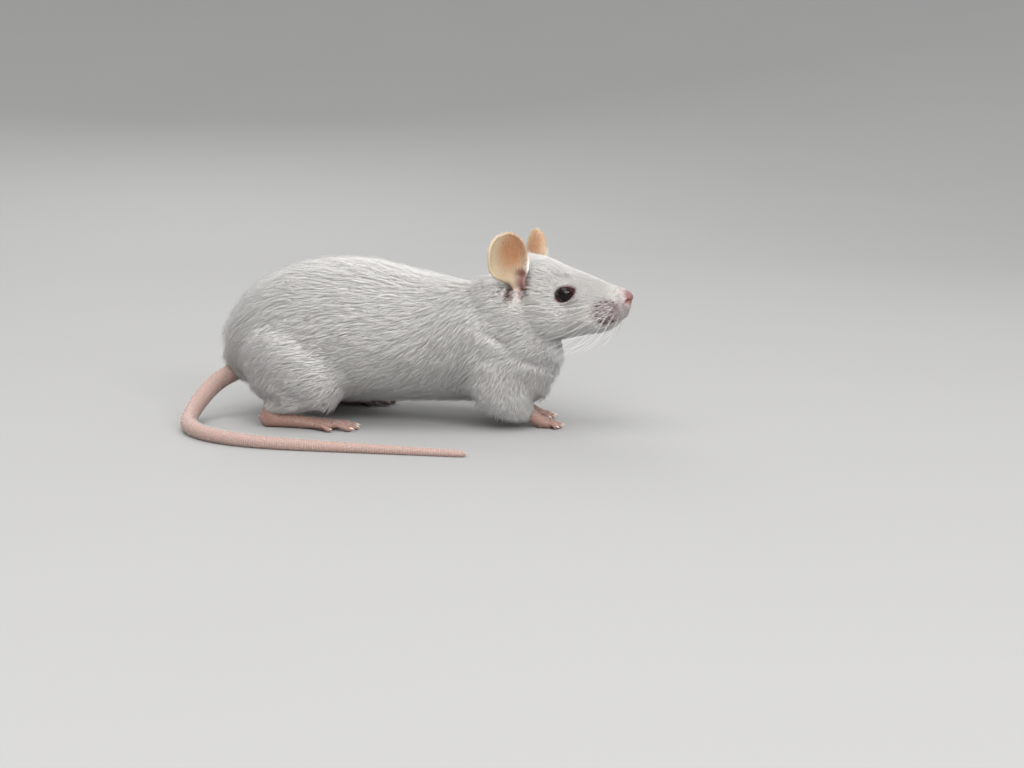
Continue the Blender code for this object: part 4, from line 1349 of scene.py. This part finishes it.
    def grow(self, base: Mesh, name: str, material: Material, seed: int,
             zone: float = 0.0) -> Item:
        """Return a plain object of all the spikes that grow on a mesh.

        Args:
            base: the mesh or points with out, lie, long, wide, high and, where scattered, density and zone.
            name: the new object's name.
            material: its finish.
            seed: what its random numbers start from.
            zone: which part of the skin to grow on.
        """
        tree, identifiers = self.tree()
        item = add_object(name, base)
        step = item.modifiers.new("grow", "NODES")
        step.node_group = tree
        for key, value in (("Zone", zone), ("Seed", seed), ("Sway", self.sway), ("Grain", self.grain),
                           ("Stray", self.stray), ("Material", material)):
            step[identifiers[key]] = value
        item.data = evaluated_mesh(item, name)
        spent = ("out", "lie", "long", "wide", "high", "density", "zone", "root", "unwrap",
                 *CARRIED, *SCULPTED)
        for layer in [name for name in spent if name != "along" and name in item.data.attributes]:
            item.data.attributes.remove(item.data.attributes[layer])
        points = points_of(item.data)
        points[:, 2] = np.maximum(points[:, 2], 0.01 * MM)
        move_points(item.data, points)
        item.data.shade_smooth()
        bpy.data.node_groups.remove(tree)
        return item


@dataclass
class Coat:
    """The coat, in one piece for each zone."""

    body: Anatomy
    most: float = 1460000.0             # triangles in all
    ear_room: tuple[Row, Row] = ((-8.0, 7.0, 0.3), (3.0, 3.0, 4.0))     # where hair is short below the ear
    segments: int = 2
    # How long, how wide and how dense the tufts are at some places ahead of the eyes, and on the belly.
    stations: Row = (-20.0, -10.0, -4.0, 0.0, 4.0, 7.0, 9.2)
    tufts: tuple[Row, Row, Row] = (
        (4.6, 3.4, 2.8, 2.2, 1.6, 1.0, 0.55), (0.13, 0.11, 0.10, 0.085, 0.075, 0.065, 0.05),
        (24.0, 36.0, 42.0, 48.0, 62.0, 80.0, 90.0))
    belly_tufts: Row = (4.2, 0.12, 26.0)
    # How long, wide and high the down of ears, feet and tail is, and the hair before an ear.
    down: Row = (0.6, 0.035, 0.06)
    down_density: Row = (3.0, 6.0, 12.0)            # on ear, tail and paw
    ear_fringe: Row = (0.95, 0.05, 0.22)

    def grain(self, mesh: Mesh) -> None:
        """Keep on the skin's mesh which way the hair lies, how dense it stands and how long it is."""
        points = points_of(mesh)
        normals = unit(spread(mesh, points_of(mesh, "normal"), 2))
        masks = {name: fetch(mesh, name) for name in CARRIED + SCULPTED}
        places = self.body.to_head(points)
        ahead, aside, up = places.T
        core = np.clip(1.0 - masks["ear"] - masks["paw"] - masks["tail"], 0.0, 1.0)
        small = 1.0 - core
        lie = self.lie(points) * core[:, None] + fetch(mesh, "lie") * small[:, None]
        store(mesh, "lie", unit(lie - normals * np.sum(lie * normals, axis=1)[:, None]))
        store(mesh, "out", normals)
        low = self.body.underside(ahead, up)
        sizes = (np.interp(ahead, self.stations, row) for row in self.tufts)
        length, width, density = (size + (belly - size) * low for size, belly in zip(sizes, self.belly_tufts))
        depth = self.body.coat_depth(points)
        thinner = np.clip(depth / 1.8, 0.0, 1.0)
        limb = smooth_step(-9.0, -14.0, up)
        length = length * (1.0 - limb * (1.0 - (0.22 + 0.5 * thinner)))
        width = width * (1.0 - limb * (1.0 - (0.45 + 0.55 * thinner)))
        density = density * (1.0 + limb * (1.0 - thinner) * 1.6)
        high = np.maximum(depth * 0.95, 0.12 * length)
        sizes = [size * core + small * least for size, least in zip((length, width, high), self.down)]
        brim = masks["brim"] * (masks["pad"] < 0.1)
        length, width, high = (blend(size, least, brim) for size, least in zip(sizes, self.ear_fringe))
        on_ear, on_tail, on_paw = self.down_density
        density = density * core + masks["ear"] * on_ear + masks["tail"] * on_tail
        density = density + masks["paw"] * on_paw * (normals[:, 2] > 0.1)
        bare = (1.0 - masks["nose"]) * smooth_step(0.97, 0.72, masks["lid"]) * (1.0 - masks["nostril"])
        bare = bare * (1.0 - 0.93 * masks["pit_shade"]) * (1.0 - 0.86 * masks["hollow"])
        density = density * bare * (1.0 - 0.93 * masks["pad"]) * (1.0 - 0.8 * masks["mouth"])
        beside = np.column_stack((ahead, np.abs(aside), up))
        near_ear = smooth_step(1.2, 0.6, ellipse(beside, *self.ear_room))
        length = length * (1.0 - 0.62 * near_ear * core)
        gaps = [np.linalg.norm(points - centre, axis=1) for centre in self.body.eyes.values()]
        eye = np.minimum(*gaps) / MM
        close = smooth_step(1.7, 3.6, eye)
        before = smooth_step(-0.6, 1.2, ahead) * (1.0 - close)
        length = length * (0.30 + 0.70 * close) * (1.0 - 0.45 * before)
        high = high * (0.16 + 0.84 * close)
        density = density * (eye > 1.3) * (1.0 + 1.6 * smooth_step(2.9, 2.0, eye))
        density = density * (points[:, 2] > 0.25 * MM)
        self.divide(mesh, ahead, density)
        for name, values in (("long", length * MM), ("wide", width * MM), ("high", high * MM)):
            store(mesh, name, values)

    def divide(self, mesh: Mesh, ahead: Array, density: Array) -> None:
        """Share the tufts out evenly between the zones, from nose to tail, within the limit in all."""
        area = np.zeros(len(mesh.vertices))
        corners = read(mesh.polygons, "vertices", 3, np.int32).ravel()
        sizes = read(mesh.polygons, "area", 1)
        np.add.at(area, corners, np.repeat(sizes / 3.0, 3) / MM ** 2)
        count = len(Zone)
        load = area * density * (3 * (2 * self.segments - 1) + 1)
        total = load.sum()
        density = density * min(1.0, self.most / total)
        order = np.argsort(-ahead)
        share = np.cumsum(load[order]) / total
        zone = np.zeros(len(ahead))
        zone[order] = np.minimum(np.floor(share * count), count - 1)
        LOG.info("coat: %.0f triangles asked for, %.0f made", total, min(total, self.most))
        store(mesh, "zone", zone)
        store(mesh, "density", density / MM ** 2)

    def lie(self, points: Array) -> Array:
        """Return which way the hair lies at each point of head, trunk and legs."""
        places = self.body.to_head(points)
        ahead, _, up = places.T
        stations = self.body.to_body(points)
        away = unit(places - (13.5, 0.0, -1.0)) @ self.body.axes
        head = smooth_step(-17.0, -6.0, ahead) * smooth_step(-15.0, -7.0, up)
        chest = smooth_step(-27.0, -15.0, stations[:, 0])
        rump = smooth_step(-40.0, -54.0, stations[:, 0])
        trunk = np.outer(1.0 - chest, (-1.0, 0.0, -0.32)) + np.outer(chest, (-0.55, 0.0, -0.85))
        trunk = unit(trunk) + np.outer(rump, (0.2, 0.0, -0.55))
        lie = away * head[:, None] + unit(trunk) * (1.0 - head)[:, None]
        for side in Side:
            for joint in (self.body.wrist(side), self.body.ankle(side)):
                toward = joint - stations + (0.0, 0.0, -1.0)
                near = smooth_step(9.0, 2.5, np.linalg.norm(joint - stations, axis=1))
                lie = lie * (1.0 - near)[:, None] + unit(toward) * near[:, None]
            from_eye = points - self.body.eyes[side]
            gap = np.linalg.norm(from_eye, axis=1) / MM
            parting = unit(from_eye)
            against = np.minimum(np.sum(parting * away, axis=1), 0.0)
            lie = lie + (parting - away * against[:, None]) * (1.1 * smooth_step(4.2, 1.9, gap))[:, None]
        return unit(lie)

    def build(self, skin: Item, material: Material) -> list[Item]:
        """Return the pieces of the coat that grow on the skin."""
        mesh = skin.data.copy()
        self.grain(mesh)
        self.root_places(mesh)
        pieces = []
        for number, zone in enumerate(Zone):
            name = "coat_" + zone.value
            sprouts = Sprouts(name, 3, self.segments, 0.62, 6.0 + 0.5 * number, True, flat=0.45,
                              sway=0.20, grain=220.0, stray=0.15)
            piece = sprouts.grow(mesh.copy(), name, material, 11 + 10 * number, float(number))
            triangles = sum(len(face.vertices) - 2 for face in piece.data.polygons)
            LOG.info("%s: %d triangles", piece.name, triangles)
            pieces.append(piece)
        bpy.data.meshes.remove(mesh)
        return pieces

    def root_places(self, mesh: Mesh) -> None:
        """Keep each corner's place on the unwrap as a vector that the tufts can read."""
        solid = np.zeros((len(mesh.loops), 3), np.float32)
        solid[:, :2] = read(mesh.uv_layers["unwrap"].uv, "vector", 2)
        layer = mesh.attributes.new("root", "FLOAT_VECTOR", "CORNER")
        layer.data.foreach_set("vector", solid.ravel())


def roots_mesh(name: str, points: list, **values: object) -> Mesh:
    """Return loose points from which spikes can grow.

    Args:
        name: the mesh's name.
        points: where the spikes start.
        values: what each point carries: lie, out, long, wide and high, or one number for all points.
    """
    mesh = new_mesh(name, points)
    for key, value in values.items():
        store(mesh, key, np.full(len(points), value) if isinstance(value, float) else np.array(value))
    return mesh


@dataclass
class Whiskers:
    """The whiskers of both sides."""

    body: Anatomy
    rows: WhiskerRows
    longest: float = 22.0

    def build(self, skin: Item, material: Material) -> Item:
        """Return all whiskers as one piece."""
        dice = np.random.default_rng(5)
        points, lies, outs, longs, highs = [], [], [], [], []
        for side in Side:
            for ahead, up, row, lane in self.rows.roots():
                start = self.body.from_head(side.turn((ahead, 9.0, up)))
                hit, place, *_ = skin.ray_cast(Vector(start), Vector(-side.value * self.body.sideways))
                if not hit:
                    continue
                share = 0.34 + 0.62 * (lane / (self.rows.lanes - 1)) ** 0.8
                reach = self.longest * share * (1.0 - 0.07 * row)
                swept = side.turn((-0.55 - 0.12 * lane, 0.75, 0.28 - 0.24 * row)) @ self.body.axes
                lies.append(unit(swept + dice.normal(0.0, 0.07, 3)))
                sag = side.turn((-0.35, 0.1, -1.0)) @ self.body.axes
                outs.append(unit(sag - lies[-1] * sag.dot(lies[-1])))
                points.append(tuple(place))
                longs.append(reach * MM)
                highs.append(reach * 0.10 * MM)
        mesh = roots_mesh("whiskers", points, lie=lies, out=outs, long=longs, wide=0.08 * MM, high=highs)
        return Sprouts("whiskers", 4, 16, 0.85, 22.0, False, stray=0.08).grow(mesh, "whiskers", material, 3)


@dataclass
class Claws:
    """The claws of all four feet."""

    paws: list[Paw]

    def build(self, material: Material) -> Item:
        """Return all claws as one piece."""
        points, lies, outs, longs = [], [], [], []
        for paw in self.paws:
            for place, direction in paw.claw_roots():
                points.append(tuple(place - direction * 0.12 * MM))
                lies.append(direction)
                outs.append((0.0, 0.0, -1.0) - direction * direction.dot((0.0, 0.0, -1.0)))
                longs.append((0.75 if len(paw.toes) < 5 else 1.0) * MM)
        mesh = roots_mesh("claws", points, lie=lies, out=unit(np.array(outs)), long=longs, wide=0.34 * MM,
                          high=0.16 * MM)
        return Sprouts("claws", 10, 7, 0.7, -0.35, False, stray=0.03).grow(mesh, "claws", material, 8)


@dataclass
class Eyes:
    """The two eyes, each a fine ball with a slight cornea."""

    body: Anatomy
    finish: EyeFinish = field(default_factory=EyeFinish)

    def build(self, side: Side) -> Item:
        """Return one eye."""
        name = "eyeball_" + side.name.lower()
        outward = unit(self.body.eyes[side] - self.body.centre)
        radius = self.body.eye_radius * MM
        turn = Vector(outward).to_track_quat("Z", "Y").to_matrix().to_4x4()
        mesh = bpy.data.meshes.new(name)
        with opened(mesh) as shell:
            bmesh.ops.create_uvsphere(shell, u_segments=72, v_segments=48, radius=radius)
            for vertex in shell.verts:
                front = max(vertex.co.z / radius, 0.0)
                vertex.co *= 1.0 + 0.035 * float(smooth_step(0.55, 1.0, np.array(front)))
            shell.transform(Matrix.Translation(self.body.eyes[side]) @ turn)
        mesh.shade_smooth()
        mesh.materials.append(self.finish.material(name, self.body.eyes[side], outward, radius))
        return add_object(name, mesh)


# ---- Floor, light and camera ----


@dataclass
class Studio:
    """The pale floor, the soft lights and the camera."""

    body: Anatomy
    distance: float = 0.198             # from the near eye to the camera
    azimuth: float = math.radians(10.0)
    pitch: float = math.radians(10.0)
    eye_right: float = 0.0092           # how far right of the middle of the view the near eye stands
    eye_above: float = 0.0155
    sensor: float = 36.0
    lens: float = 40.4296875            # its focal length, for a picture as wide as the sensor
    # Each lamp's name, place, width, power and colour.
    lamps: tuple[tuple[str, Row, float, float, Colour], ...] = (
        ("overhead", (-0.12, -0.15, 0.80), 0.70, 3.8, (1.0, 0.985, 0.96)),
        ("front", (0.15, -0.42, 0.30), 0.40, 2.0, (1.0, 0.99, 0.975)),
        ("side", (0.55, -0.45, 0.35), 0.20, 1.8, (1.0, 0.99, 0.98)),
        ("back", (-0.30, 0.60, 0.50), 0.50, 2.0, (1.0, 0.99, 0.97)))
    aim: Row = (0.3, 1.0, 0.6)          # what the lamps shine at, as shares of the way to the head
    room: Row = (0.99, 0.99, 1.0, 1.0)
    room_power: float = 0.95

    def floor(self) -> Item:
        """Return a round floor that sweeps up far from the animal."""
        flat, sweep, sides = 0.45, 1.3, 96
        profile = [(0.2, 0.0), (flat, 0.0), *((flat + sweep * math.sin(turn), sweep * (1.0 - math.cos(turn)))
                                              for turn in np.linspace(0.03, 1.0, 30))]
        points = [(0.0, 0.0, 0.0)]
        for radius, height in profile:
            for turn in np.linspace(0.0, 2.0 * math.pi, sides, endpoint=False):
                points.append((radius * math.cos(turn), radius * math.sin(turn), height))
        faces = [(0, 1 + side, 1 + (side + 1) % sides) for side in range(sides)]
        for start in range(1, 1 + sides * (len(profile) - 1), sides):
            for side in range(sides):
                beside = (side + 1) % sides
                faces.append((start + side, start + side + sides, start + beside + sides, start + beside))
        mesh = new_mesh("floor", points, faces)
        mesh.shade_smooth()
        mesh.materials.append(FloorFinish().material())
        item = add_object("floor", mesh)
        return item

    def lamp(self, name: str, place: Row, size: float, power: float, colour: Colour) -> None:
        """Add one soft round lamp that shines between the animal's feet and its head."""
        light = bpy.data.lights.new(name, "AREA")
        light.shape, light.size, light.energy, light.color = "DISK", size, power, colour
        item = add_object(name, light)
        item.location = place
        target = Vector(self.body.centre) * Vector(self.aim)
        item.rotation_euler = (target - item.location).to_track_quat("-Z", "Y").to_euler()

    def lights(self) -> None:
        """Add the lamps and the soft light of the room."""
        for lamp in self.lamps:
            self.lamp(*lamp)
        world = bpy.data.worlds.new("room")
        world.use_nodes = True
        background = world.node_tree.nodes["Background"]
        background.inputs["Color"].default_value = self.room
        background.inputs["Strength"].default_value = self.room_power
        bpy.context.scene.world = world

    def tone(self) -> None:
        """Show colours as they are, without a film's softening."""
        bpy.context.scene.view_settings.view_transform = "Standard"
        bpy.context.scene.view_settings.look = "None"

    def camera(self) -> None:
        """Add the camera and make it the scene's own."""
        camera = bpy.data.cameras.new("camera")
        camera.sensor_width, camera.lens, camera.clip_start = self.sensor, self.lens, 0.01
        item = add_object("camera", camera)
        level = math.cos(self.pitch)
        back = Vector((math.sin(self.azimuth) * level, -math.cos(self.azimuth) * level, math.sin(self.pitch)))
        turn = back.to_track_quat("Z", "Y")
        right = turn @ Vector((1.0, 0.0, 0.0))
        upward = turn @ Vector((0.0, 1.0, 0.0))
        eye = Vector(self.body.eyes[Side.RIGHT])
        item.location = eye + back * self.distance - right * self.eye_right - upward * self.eye_above
        item.rotation_euler = turn.to_euler()
        bpy.context.scene.camera = item


def main() -> None:
    """Build every piece in order."""
    logging.basicConfig(level=logging.INFO, format="%(name)s: %(message)s", stream=sys.stdout)
    body = Anatomy()
    rows = WhiskerRows()
    paws = [make(body, side) for make in (forepaw, hindpaw) for side in Side]
    ears = [Ear(body, side) for side in Side]
    studio = Studio(body)
    studio.camera()
    studio.floor()
    studio.lights()
    studio.tone()
    flesh = Skin(body, paws, ears, Tail(body))
    skin = flesh.build()
    LOG.info("skin: %d triangles", len(skin.data.polygons))
    flesh.unwrap(skin)
    LOG.info("skin unwrapped")
    skin.data.materials.clear()
    skin.data.materials.append(SkinFinish().material(body, rows))
    coat = Coat(body).build(skin, CoatFinish().material())
    hair = HornFinish("whisker_hair", (0.60, 0.57, 0.55), (0.86, 0.86, 0.86), 0.35)
    horn = HornFinish("pale_claw", (0.72, 0.50, 0.44), (0.86, 0.78, 0.70), 0.3)
    whiskers = Whiskers(body, rows).build(skin, hair.material())
    claws = Claws(paws).build(horn.material())
    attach(skin, "root")
    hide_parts(*FLESH)
    for piece in (*coat, whiskers):
        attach(piece, "root")
    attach(claws, "root")
    for side in Side:
        eye = Eyes(body).build(side)
        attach(eye, "root")
        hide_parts("eye_" + side.name.lower())


if __name__ == "__main__":
    main()
